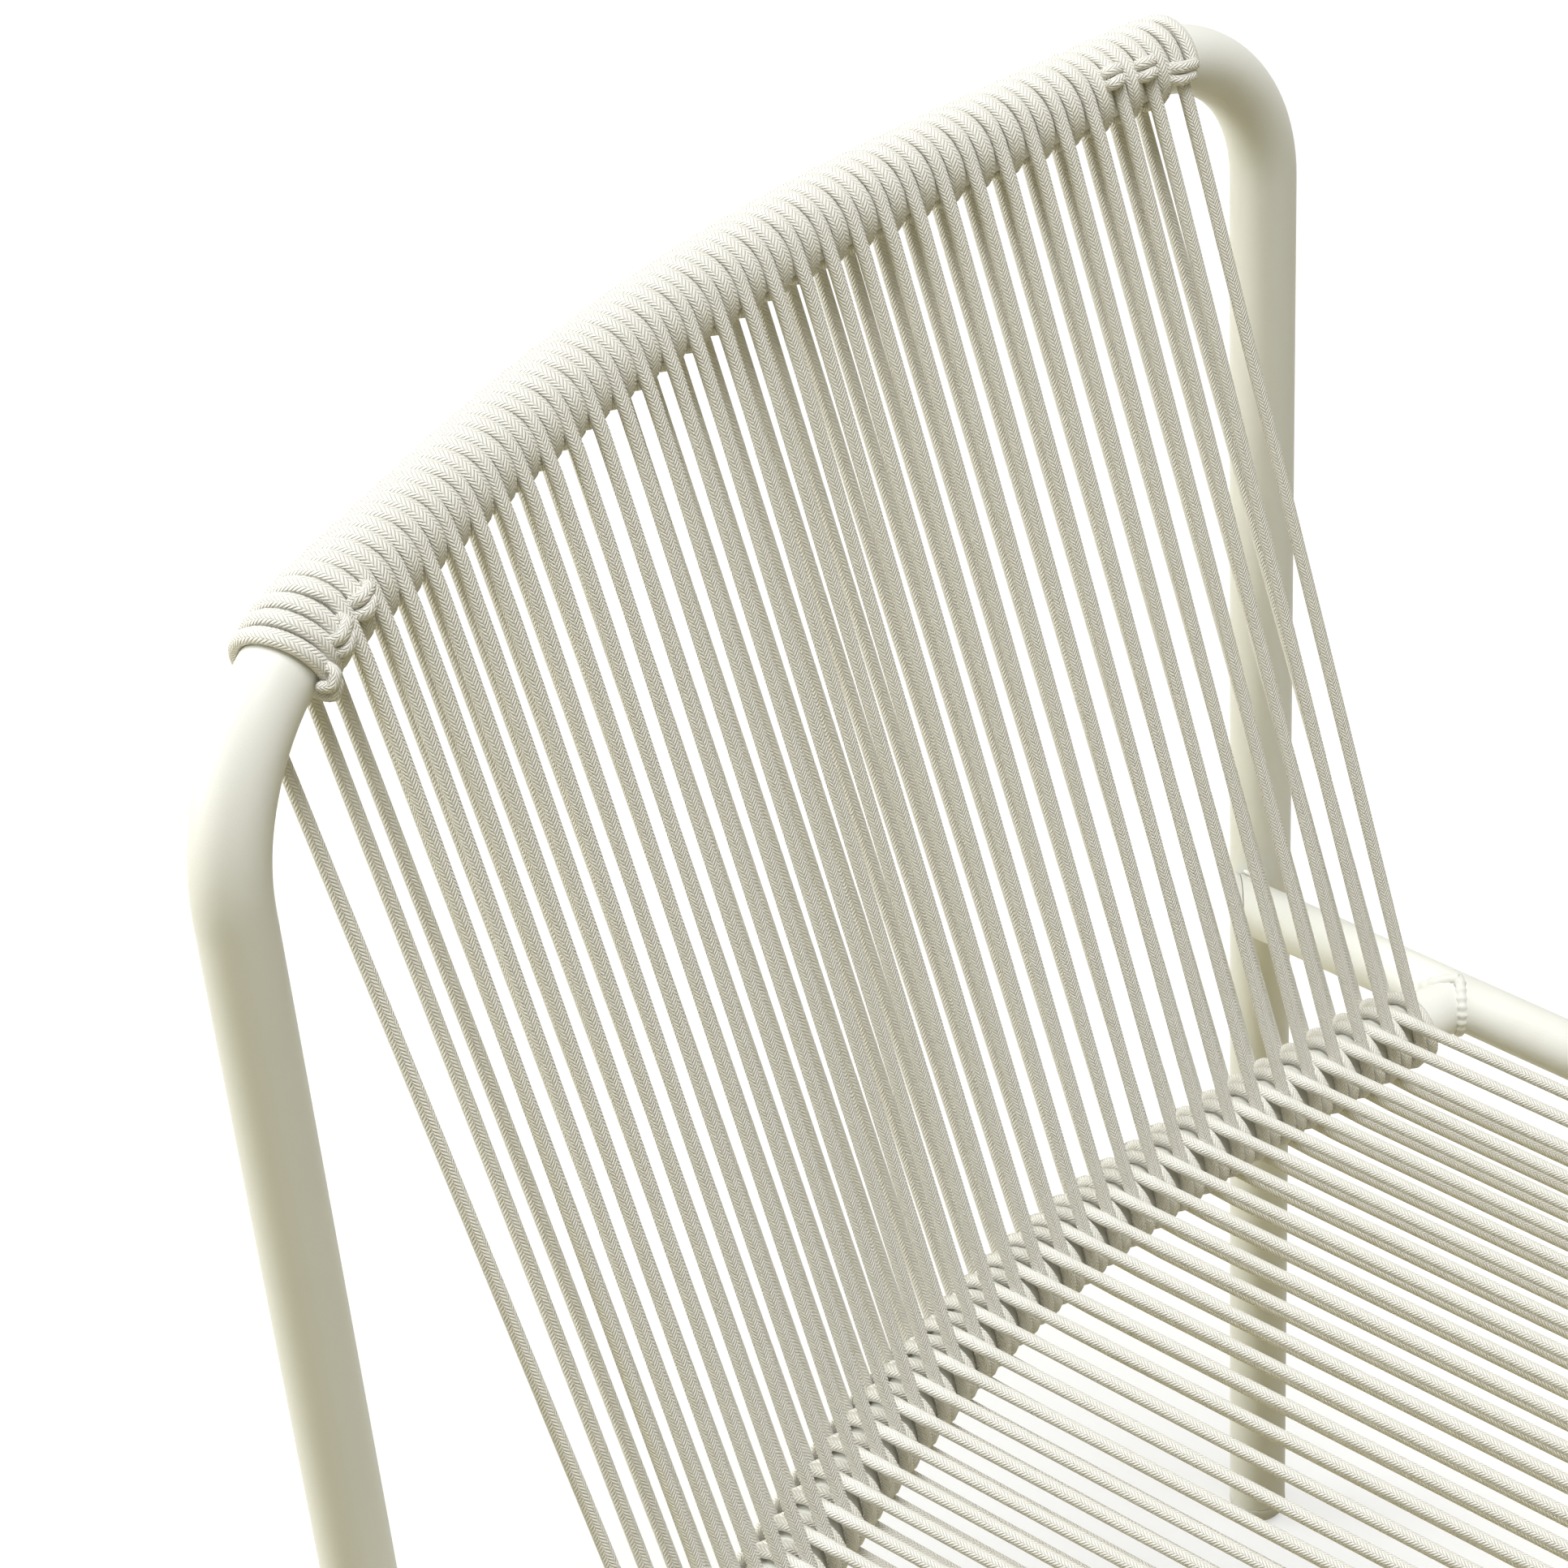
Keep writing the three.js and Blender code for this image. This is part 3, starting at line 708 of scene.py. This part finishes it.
def round_corner(before, corner, after, radius, steps):
    back, on = unit(before - corner), unit(after - corner)
    bend = math.pi - math.acos(float(back @ on))
    centre = corner + unit(back + on) * radius / math.cos(bend / 2)
    start = unit(corner + back * radius * math.tan(bend / 2) - centre)
    finish = corner + on * radius * math.tan(bend / 2) - centre
    side = unit(finish - start * (finish @ start))
    angle = np.linspace(0, bend, steps + 1)[:, None]
    return centre + radius * (np.cos(angle) * start + np.sin(angle) * side)


print("top corner:", to_scene(TOP_CORNER).round(4))

# %% Back hoop line
HOOP_CORNER_STEPS = 28
HOOP_RAIL_STEPS = 110
POST_STEPS = 24


def mirrored(points):
    return (points * np.array([-1.0, 1.0, 1.0]))[::-1]


def hoop_line():
    beside = top_rail_line(np.array(TOP_CORNER[0] - TOP_CORNER_RADIUS))
    corner = round_corner(
        post_point(1, 0.0), TOP_CORNER, beside, TOP_CORNER_RADIUS, HOOP_CORNER_STEPS)
    share = np.linspace(0, 1, POST_STEPS)[:-1, None]
    foot = post_point(1, FLOOR + GLIDE_HEIGHT)
    left = np.concatenate([foot + (corner[0] - foot) * share, corner])
    rail = top_rail_line(np.linspace(left[-1][0], -left[-1][0], HOOP_RAIL_STEPS + 1)[1:-1])
    return np.concatenate([left, rail, mirrored(left)])


HOOP = hoop_line()
print("hoop tube, along its centre:",
      round(float(np.linalg.norm(np.diff(HOOP, axis=0), axis=1).sum())), "mm")

# %% Side frames and cross rails
SIDE_CORNER_STEPS = 22
RAIL_END_INSET = 5.5
RAIL_END_SLANT = 0.8
RAIL_WAY = unit([0.0, -1.0, SEAT_RISE])


def side_rail_point(side, y):
    height = REAR_RAIL_DIP + (-REAR_RAIL_BOW - y) * SEAT_RISE
    return np.array([side * SIDE_HALF_SPAN, y, height])


def front_floor_point(side):
    return np.array([side * (SIDE_HALF_SPAN + FRONT_LEG_SPLAY),
                     FRONT_CORNER - FRONT_LEG_LEAN, FLOOR])


def leg_down(side):
    return unit(front_floor_point(side) - side_rail_point(side, FRONT_CORNER))


def rail_end(side):
    return side_rail_point(side, POST_SETBACK - RAIL_END_INSET)


def rail_end_way(side):
    return unit([-side * RAIL_END_SLANT, 1.0, 0.0])


def side_line(side):
    rear = side_rail_point(side, POST_SETBACK + 2 * RAIL_RADIUS)
    corner = side_rail_point(side, FRONT_CORNER)
    foot = front_floor_point(side) - leg_down(side) * GLIDE_HEIGHT
    bend = round_corner(rear, corner, foot, FRONT_CORNER_RADIUS, SIDE_CORNER_STEPS)
    share = np.linspace(0, 1, POST_STEPS)[:-1, None]
    down = bend[-1] + (foot - bend[-1]) * np.linspace(0, 1, POST_STEPS)[1:, None]
    return np.concatenate([rear + (bend[0] - rear) * share, bend, down])


SPAN = np.linspace(SIDE_HALF_SPAN, -SIDE_HALF_SPAN, HOOP_RAIL_STEPS + 1)
REAR_RAIL = rear_rail_line(SPAN)
FRONT_RAIL = np.stack([
    SPAN, np.full_like(SPAN, -SEAT_DEPTH),
    np.full_like(SPAN, side_rail_point(1, -SEAT_DEPTH)[2])], axis=-1)
print("front rail height:", to_scene(FRONT_RAIL[0])[2].round(3), "m")

# %% [markdown]
# ## Steel tubes
#
# The CAD tubes have flat facets, which is enough for collision. Here each is swept again
# with forty sides, so that its highlight is one smooth band. The two cross rails run a
# little way into the side rails, as a coped and welded tube does. The side rails are swept
# too long and then cut on a slant, like the real ones, so that they end beside the post.

# %% Steel tubes
TUBE_SIDES = 40
TUBES = {
    "hoop_tube": ("back_hoop", HOOP, POST_RADIUS, (0, 1, 0)),
    "side_tube_left": ("side_frame_left", side_line(1), RAIL_RADIUS, (1, 0, 0)),
    "side_tube_right": ("side_frame_right", side_line(-1), RAIL_RADIUS, (1, 0, 0)),
    "rear_rail_tube": ("rear_rail", REAR_RAIL[1:-1], RAIL_RADIUS, (0, 0, 1)),
    "front_rail_tube": ("front_rail", FRONT_RAIL[1:-1], RAIL_RADIUS, (0, 0, 1)),
}

for name, (node, line, radius, out) in TUBES.items():
    tube = sweep(name, [make_line(line, out, radius)], TUBE_SIDES, steel)
    if node.startswith("side_frame"):
        side = 1 if node.endswith("left") else -1
        cut_behind(tube, rail_end(side), rail_end_way(side))
    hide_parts(node)
    print(name, triangles(tube), "triangles")

# %% [markdown]
# ## Weld beads
#
# A weld bead is a row of small, overlapping puddles of steel. Each one is made as a
# closed line round the joint, with a size that swells and shrinks a little along it. On
# the cross rails the line is the saddle in which two tubes meet. Where a side rail only
# touches its post, it is a ring round the touching spot, open where the rail ends.

# %% Weld beads
WELD_STEPS = 160
WELD_RIPPLES = 24
WELD_SIZE = 2.3
WELD_SWELL = 0.1
WELD_RING = 9.02
WELD_SIDES = 10
WELD_FADE = 16
FADED_SIZE = 0.3

round_turn = np.linspace(0, 2 * math.pi, WELD_STEPS, endpoint=False)
ripple = WELD_SIZE * (1 + WELD_SWELL * np.sin(WELD_RIPPLES * round_turn))


def saddle(side, end, inner):
    place = np.array([side * end[0], end[1], end[2]])
    inward = unit(np.array([side * inner[0], inner[1], inner[2]]) - place)
    first = unit(np.cross(inward, RAIL_WAY))
    second = np.cross(inward, first)
    spoke = RAIL_RADIUS * (np.cos(round_turn)[:, None] * first
                           + np.sin(round_turn)[:, None] * second)
    clear_spoke = spoke - (spoke @ RAIL_WAY)[:, None] * RAIL_WAY
    clear_way = inward - (inward @ RAIL_WAY) * RAIL_WAY
    half = clear_spoke @ clear_way
    whole = clear_way @ clear_way
    rest = (clear_spoke ** 2).sum(axis=1) - RAIL_RADIUS ** 2
    depth = (-half + np.sqrt(np.maximum(half ** 2 - whole * rest, 0))) / whole
    return make_line(place + spoke + depth[:, None] * inward, unit(spoke), ripple,
                     closed=True, run=round_turn)


def contact_ring(side):
    height = side_rail_point(side, POST_SETBACK)[2]
    post = post_point(side, height)
    y, z = WELD_RING * np.cos(round_turn), WELD_RING * np.sin(round_turn)
    post_face = post[0] * side - np.sqrt(POST_RADIUS ** 2 - y ** 2)
    rail_face = SIDE_HALF_SPAN + np.sqrt(RAIL_RADIUS ** 2 - z ** 2)
    x = side * (post_face + rail_face) / 2
    points = np.stack([x, post[1] + y + POST_LEAN * z, post[2] + z], axis=-1)
    behind = (points - rail_end(side)) @ rail_end_way(side)
    kept = np.roll(behind < -WELD_SIZE, -WELD_STEPS // 4)
    points = np.roll(points, -WELD_STEPS // 4, axis=0)[kept]
    out = np.tile([float(side), 0.0, 0.0], (len(points), 1))
    order = np.arange(1, len(points) + 1)
    fade = np.minimum(1, np.minimum(order, order[::-1]) / WELD_FADE)
    size = ripple[:len(points)] * (FADED_SIZE + (1 - FADED_SIZE) * fade)
    return make_line(*rounded_ends(points, out, size, size))


for side_name, side in (("left", 1), ("right", -1)):
    beads = {
        "rear": saddle(side, REAR_RAIL[0], REAR_RAIL[1]),
        "front": saddle(side, FRONT_RAIL[0], FRONT_RAIL[1]),
        "post": contact_ring(side),
    }
    for place, line in beads.items():
        bead = sweep(f"{place}_bead_{side_name}", [line], WELD_SIDES, steel)
        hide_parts(f"weld_{place}_{side_name}")
print("weld beads:", count_named("_bead_"))

# %% [markdown]
# ## Glides and plugs
#
# The feet stand on plastic glides. They are turned shapes: a straight line with a radius
# that changes along it, pressed flat where it meets the floor. The rear ends of the side
# rails are closed with plastic plugs. Each is a slice of a round bar between two slanted
# planes, with a rounded rim.

# %% Glides and plugs
TURNED_SIDES = 36
GLIDE_OUTLINE = [(-2.0, -5.0), (-1.2, -3.2), (0.0, -1.7), (1.2, -0.8), (2.6, -0.2),
                 (4.0, 0.1), (6.6, 0.1), (7.5, -0.1), (7.9, -0.6)]
PLUG_SEAM = 0.3
PLUG_HEAD = 2.5
PLUG_ROUND = 0.9
PLUG_INSIDE = 0.05


def turned_line(base, axis, outline, radius):
    points = [base + axis * height for height, _ in outline]
    sizes = [radius + change for _, change in outline]
    return make_line(points, (1, 0, 0), sizes)


for side_name, side in (("left", 1), ("right", -1)):
    rear_up = unit(post_point(side, 0.0) - post_point(side, FLOOR))
    feet = {
        "rear": (post_point(side, FLOOR), rear_up, POST_RADIUS),
        "front": (front_floor_point(side), -leg_down(side), RAIL_RADIUS),
    }
    for place, (base, axis, radius) in feet.items():
        line = turned_line(base, axis, GLIDE_OUTLINE, radius)
        foot = sweep(f"{place}_foot_{side_name}", [line], TURNED_SIDES, plastic, True)
        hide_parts(f"glide_{place}_{side_name}")
    end, way = rail_end(side), rail_end_way(side)
    ends = np.stack([end + RAIL_WAY * 3 * RAIL_RADIUS, end - RAIL_WAY * 3 * RAIL_RADIUS])
    bar = make_line(ends, (side, 0, 0), RAIL_RADIUS - PLUG_INSIDE)
    plug = sweep(f"end_plug_{side_name}", [bar], TURNED_SIDES, plastic)
    cut_behind(plug, end + way * PLUG_HEAD, way, PLUG_ROUND)
    cut_behind(plug, end + way * PLUG_SEAM, -way)
    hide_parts(f"rail_plug_{side_name}")
print("glides and plugs:", count_named("_foot_"), count_named("end_plug_"))

# %% [markdown]
# ## How the back is wound
#
# For each strand of the back the cord comes up the front, turns one and a half times
# round the top rail, and goes down behind. It passes under the rear rail, makes one more
# turn round it, and comes up the front again, one step to the side.
#
# A place on a wound rail has two numbers: how far along the rail it is, and how many
# turns the cord has made. Turn 0 faces the front of the winding, and the cord rises
# there. We look up the rail's centre and direction from its dense line.

# %% Places on a wound rail
BACK_UP = unit(top_rail_line(np.array(0.0)) - rear_rail_line(np.array(0.0)))
BACK_FACE = np.cross([1.0, 0.0, 0.0], BACK_UP)
SEAT_UP = np.cross(RAIL_WAY, [1.0, 0.0, 0.0])


def wound_rail(line, face):
    steps = np.linalg.norm(np.diff(line, axis=0), axis=1)
    return dict(line=line, along=unit(np.gradient(line, axis=0)), face=np.asarray(face),
                travel=np.concatenate([[0.0], np.cumsum(steps)]))


def look_up(rail, key, travel):
    return np.stack([np.interp(travel, rail["travel"], rail[key][:, i]) for i in range(3)],
                    axis=-1)


def on_rail(rail, travel, turn, reach):
    along = unit(look_up(rail, "along", travel))
    face = unit(rail["face"] - along * (along @ rail["face"])[..., None])
    lift = np.cross(along, face)
    angle = 2 * math.pi * np.asarray(turn)[..., None]
    out = np.cos(angle) * face + np.sin(angle) * lift
    return look_up(rail, "line", travel) + out * np.asarray(reach)[..., None], out


def travel_at(rail, x, reach):
    travel = rail["travel"]
    spots, _ = on_rail(rail, travel, np.zeros_like(travel), np.full_like(travel, reach))
    return np.interp(-np.asarray(x), -spots[:, 0], travel)


ABOVE = HOOP[:, 2] > BACK_HEIGHT - 2 * TOP_CORNER_RADIUS
TOP = wound_rail(HOOP[ABOVE], BACK_FACE)
REAR = wound_rail(REAR_RAIL, BACK_FACE)
SEAT_REAR = wound_rail(REAR_RAIL, SEAT_UP)
SEAT_FRONT = wound_rail(FRONT_RAIL, -SEAT_UP)
print("top rail, along its centre:", round(TOP["travel"][-1]), "mm")

# %% [markdown]
# A stretch of cord is either wound on a rail or free between two rails. Both helpers give
# the same four lists: points, the way out, half the width and half the thickness. A free
# strand is straight. Its middle strays by a fraction of a millimetre, from a fixed seed,
# because cord that is wound by hand never lies quite evenly. Near one of its ends it can
# bend aside to pass a neighbour, and the points are closer together there.

# %% Stretches of cord
CORD_HALF = 2.5
CORD_SIDES = 12
TURN_STEPS = 24
RAIL_AIR = 0.25
RAIL_LAYER = RAIL_RADIUS + CORD_HALF + RAIL_AIR
STRAY = 0.25
ASIDE_REACH = 7.0
ASIDE_PLACE = 10.0
END_CROWDING = 1.5
SMOOTHING_PASSES = 2
SEED = 7
rng = np.random.default_rng(SEED)


def wound(rail, turns, travels, reaches, wides, thicks):
    count = round((turns[-1] - turns[0]) * TURN_STEPS)
    turn = np.linspace(turns[0], turns[-1], count + 1)
    travel, reach, wide, thick = (
        np.interp(turn, turns, values) for values in (travels, reaches, wides, thicks))
    points, out = on_rail(rail, travel, turn, reach)
    return points, out, wide, thick


def free(start, end, out, steps, side_step=0.0, side_place=ASIDE_PLACE):
    share = np.linspace(0, 1, steps + 2)[1:-1] ** END_CROWDING
    share = share if side_place > 0 else 1 - share[::-1]
    length = float(np.linalg.norm(end - start))
    points = start + (end - start) * share[:, None]
    stray = rng.normal(0.0, STRAY) * np.sin(math.pi * share)
    distance = length * (share if side_place > 0 else 1 - share) - abs(side_place)
    bump = side_step * np.exp(-(distance / ASIDE_REACH) ** 2)
    points[:, 0] += stray + bump
    half = np.full(len(points), CORD_HALF)
    return points, np.tile(out, (len(points), 1)), half, half


def join_stretches(stretches):
    points, out, wide, thick = (np.concatenate(parts) for parts in zip(*stretches))
    for _ in range(SMOOTHING_PASSES):
        points[1:-1] = (points[:-2] + 2 * points[1:-1] + points[2:]) / 4
    return make_line(*rounded_ends(points, unit(out), wide, thick))


print("cord across:", 2 * CORD_HALF, "mm")

# %% [markdown]
# ## Back cord
#
# On the top rail the cord is pulled tight and pressed to a band, wider than it is thick,
# with two bands to each strand. On the rear rail it stays almost round. Between its
# strands there is just room for its own extra turn and for the seat cord. Where a strand
# leaves the top rail, the band bends back to a round cord within a quarter of a turn.

# %% Back cord
STRANDS = 32
TOP_PITCH = 14.085
BOTTOM_PITCH = 13.774
BAND_WIDE = 3.44
BAND_THICK = 2.1
BAND_AIR = 0.15
BEND_WIDE = 3.1
BEND_THICK = 2.25
BEND_LIFT = 0.2
TOP_FRONT_REACH = 15.24
TOP_TURNS = (0.0, 0.12, 0.25, 1.25, 1.38, 1.5)
REAR_FRONT_REACH = 13.92
REAR_SHARES = {0.5: 0.334, 1.0: 0.581, 1.25: 0.639, 1.5: 0.748, 1.75: 0.878, 2.0: 1.0}
FLATTER = 0.1
CORNER_WIDE = 2.95


def strand_x(strand, pitch):
    return ((STRANDS + 1) / 2 - strand) * pitch


def top_travel(strand):
    return float(travel_at(TOP, strand_x(strand, TOP_PITCH), TOP_FRONT_REACH))


def rear_travel(strand, share):
    here = travel_at(REAR, strand_x(strand, BOTTOM_PITCH), REAR_FRONT_REACH)
    following = travel_at(REAR, strand_x(strand + 1, BOTTOM_PITCH), REAR_FRONT_REACH)
    return float(here + share * (following - here))


def top_turns(strand):
    here, following = top_travel(strand), top_travel(strand + 1)
    band = BAND_THICK + POST_RADIUS + BAND_AIR
    travels = [here + (following - here) * turn / 2 for turn in TOP_TURNS]
    reaches = [TOP_FRONT_REACH, band + BEND_LIFT, band]
    wides = [CORD_HALF + FLATTER, BEND_WIDE, BAND_WIDE]
    thicks = [CORD_HALF, BEND_THICK, BAND_THICK]
    return wound(TOP, TOP_TURNS, travels, reaches + reaches[::-1], wides + wides[::-1],
                 thicks + thicks[::-1])


def rear_turns(strand, last_turn=2.0):
    turns = [turn for turn in REAR_SHARES if turn <= last_turn]
    travels = [rear_travel(strand, REAR_SHARES[turn]) for turn in turns]
    flat = [RAIL_LAYER] * len(turns)
    flat[0] = flat[-1] = REAR_FRONT_REACH
    return wound(REAR, turns, travels, flat, [CORD_HALF + FLATTER / 2] * len(turns),
                 [CORD_HALF] * len(turns))


def corner_turns(start, turns, step):
    span = [start, start + (turns[1] - turns[0]) * step]
    band = BAND_THICK + POST_RADIUS + 2 * BAND_AIR
    return wound(TOP, turns, span, [band] * 2, [CORNER_WIDE] * 2, [BAND_THICK + FLATTER] * 2)


print("bands on the top rail:", 2 * STRANDS)

# %% Back cord from end to end
LEFT_CORNER_SHIFT = TOP_PITCH / 4 + 3.4
LEFT_CORNER_STEP = 5.0
LEFT_CORNER_TURNS = (-0.01, 0.5)
RIGHT_CORNER_STEP = 5.7
RIGHT_CORNER_TURNS = (1.0, 3.5)
LAST_REAR_TURN = 1.75
DOWN_STEPS = 9
UP_STEPS = 14
UP_ASIDE = 1.0


def back_cord_line():
    first = top_travel(1) - LEFT_CORNER_SHIFT
    stretches = [corner_turns(first, LEFT_CORNER_TURNS, LEFT_CORNER_STEP)]
    for strand in range(1, STRANDS + 1):
        behind = rear_turns(strand - 1)
        above = top_turns(strand)
        down = stretches[-1][0][-1]
        stretches.append(free(down, behind[0][0], -BACK_FACE, DOWN_STEPS))
        stretches.append(behind)
        stretches.append(free(behind[0][-1], above[0][0], BACK_FACE, UP_STEPS, UP_ASIDE))
        stretches.append(above)
    last = top_travel(STRANDS)
    half_step = (top_travel(STRANDS) - top_travel(STRANDS - 1)) / 2
    stretches[-1] = [values[:TURN_STEPS] for values in stretches[-1]]
    corner = corner_turns(last + half_step, RIGHT_CORNER_TURNS, RIGHT_CORNER_STEP)
    stretches.append(corner)
    behind = rear_turns(STRANDS, LAST_REAR_TURN)
    stretches.append(free(corner[0][-1], behind[0][0], -BACK_FACE, DOWN_STEPS))
    stretches.append(behind)
    return join_stretches(stretches)


back_line = back_cord_line()
back = sweep("wound_back", [back_line], CORD_SIDES, cord)
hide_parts("back_cord")
back_length = back_line["run"][-1] * MILLIMETRE
print("back cord:", round(back_length, 1), "m,", triangles(back), "triangles")

# %% [markdown]
# ## Seat cord
#
# The seat is a second cord of the same kind, in one flat layer above and one below. Each
# upper strand starts between two strands of the back, and bends a little aside to pass the
# nearest one. It then rides over the back cord's turns behind and under the rear rail.

# %% Seat cord
SEAT_TOP_SHARE = 0.212
SEAT_TURNS = (0.0, 0.25, 0.5)
SEAT_REACHES = (14.53, 17.2, 17.5)
SEAT_SHARES = (SEAT_TOP_SHARE, 0.06, 0.23)
LOWER_FRONT_SHARE = 0.58
UPPER_FRONT_REACH = 14.2
SEAT_ASIDE = -0.8
SEAT_ASIDE_PLACE = -9.5
UPPER_STEPS = 12
LOWER_STEPS = 9


def seat_travel(rail, strand, share):
    x = strand_x(strand, BOTTOM_PITCH) - share * BOTTOM_PITCH
    return float(travel_at(rail, x, RAIL_LAYER))


def seat_rear_turn(strand):
    travels = [seat_travel(SEAT_REAR, strand, share) for share in SEAT_SHARES]
    return wound(SEAT_REAR, SEAT_TURNS, travels, SEAT_REACHES,
                 [CORD_HALF] * 3, [CORD_HALF] * 3)


def seat_front_turn(strand):
    travels = [seat_travel(SEAT_FRONT, strand - 1, LOWER_FRONT_SHARE),
               seat_travel(SEAT_FRONT, strand, SEAT_TOP_SHARE)]
    return wound(SEAT_FRONT, [0.0, 0.5], travels, [RAIL_LAYER, UPPER_FRONT_REACH],
                 [CORD_HALF] * 2, [CORD_HALF] * 2)


def seat_cord_line():
    stretches = []
    for strand in range(1, STRANDS + 2):
        stretches.append(seat_front_turn(strand))
        if strand > STRANDS:
            break
        behind = seat_rear_turn(strand)
        stretches.append(free(stretches[-1][0][-1], behind[0][0], SEAT_UP, UPPER_STEPS,
                              SEAT_ASIDE, SEAT_ASIDE_PLACE))
        stretches.append(behind)
        following = seat_front_turn(strand + 1)
        stretches.append(free(behind[0][-1], following[0][0], -SEAT_UP, LOWER_STEPS))
    return join_stretches(stretches)


seat_line = seat_cord_line()
seat = sweep("wound_seat", [seat_line], CORD_SIDES, cord)
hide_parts("seat_cord")
seat_length = seat_line["run"][-1] * MILLIMETRE
print("seat cord:", round(seat_length, 1), "m,", triangles(seat), "triangles")

# %% [markdown]
# ## Hitches
#
# At both ends of the top rail the cord is locked with three small hitches. Each shows as
# two short bits that lie one above the other along the rail, just above the place where a
# strand leaves it. A bit is an arch that dives in at both ends. The outermost hitch on the
# sitter's left is longer, and its cut ends point at the bare tube.
#
# Each row gives the strand, how far the hitch lies beside it along the rail, the turn at
# which it sits, half its length, and how much it slants.

# %% Hitches
HITCH_HALF = 1.9
HITCH_STEPS = 13
HITCH_APART = 0.036
HITCH_AIR = 0.1
HITCH_DIVE = 3.4
HITCH_DIVE_POWER = 5
HITCH_WIDER = 1.15
HITCH_SIDES = 14
HITCH_TIP_STEPS = 5
BIT_SHIFT = 0.4
BIT_SLANT = 0.003
LOWER_BIT_SHARE = 0.9
HITCHES = {
    "left_1": (1, -0.9, -0.028, 4.9, 0.0), "left_2": (2, 2.1, 0.034, 3.2, 0.0),
    "left_3": (3, 2.5, 0.055, 3.0, 0.0), "right_1": (STRANDS - 1, 7.6, 0.021, 3.2, -0.010),
    "right_2": (STRANDS, 7.6, -0.006, 3.4, -0.014),
    "right_3": (STRANDS, 20.2, -0.072, 2.7, -0.018),
}


def hitch_bit(middle, turn, half_length, slope):
    share = np.linspace(-1, 1, HITCH_STEPS)
    crest = POST_RADIUS + 2 * BAND_THICK + HITCH_HALF + HITCH_AIR
    reach = crest - HITCH_DIVE * np.abs(share) ** HITCH_DIVE_POWER
    turns = turn + slope * share
    points, out = on_rail(TOP, middle + share * half_length, turns, reach)
    size = np.full(HITCH_STEPS, HITCH_HALF)
    return make_line(*rounded_ends(points, out, size * HITCH_WIDER, size, HITCH_TIP_STEPS))


for name, (strand, shift, turn, half_length, slant) in HITCHES.items():
    middle = top_travel(strand) + shift
    bits = [
        hitch_bit(middle - BIT_SHIFT, turn + HITCH_APART / 2, half_length, slant + BIT_SLANT),
        hitch_bit(middle + BIT_SHIFT, turn - HITCH_APART / 2, half_length * LOWER_BIT_SHARE,
                  slant - BIT_SLANT),
    ]
    hitch = sweep("tied_" + name, bits, HITCH_SIDES, cord)
    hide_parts("hitch_" + name)
print("hitches:", len(HITCHES))
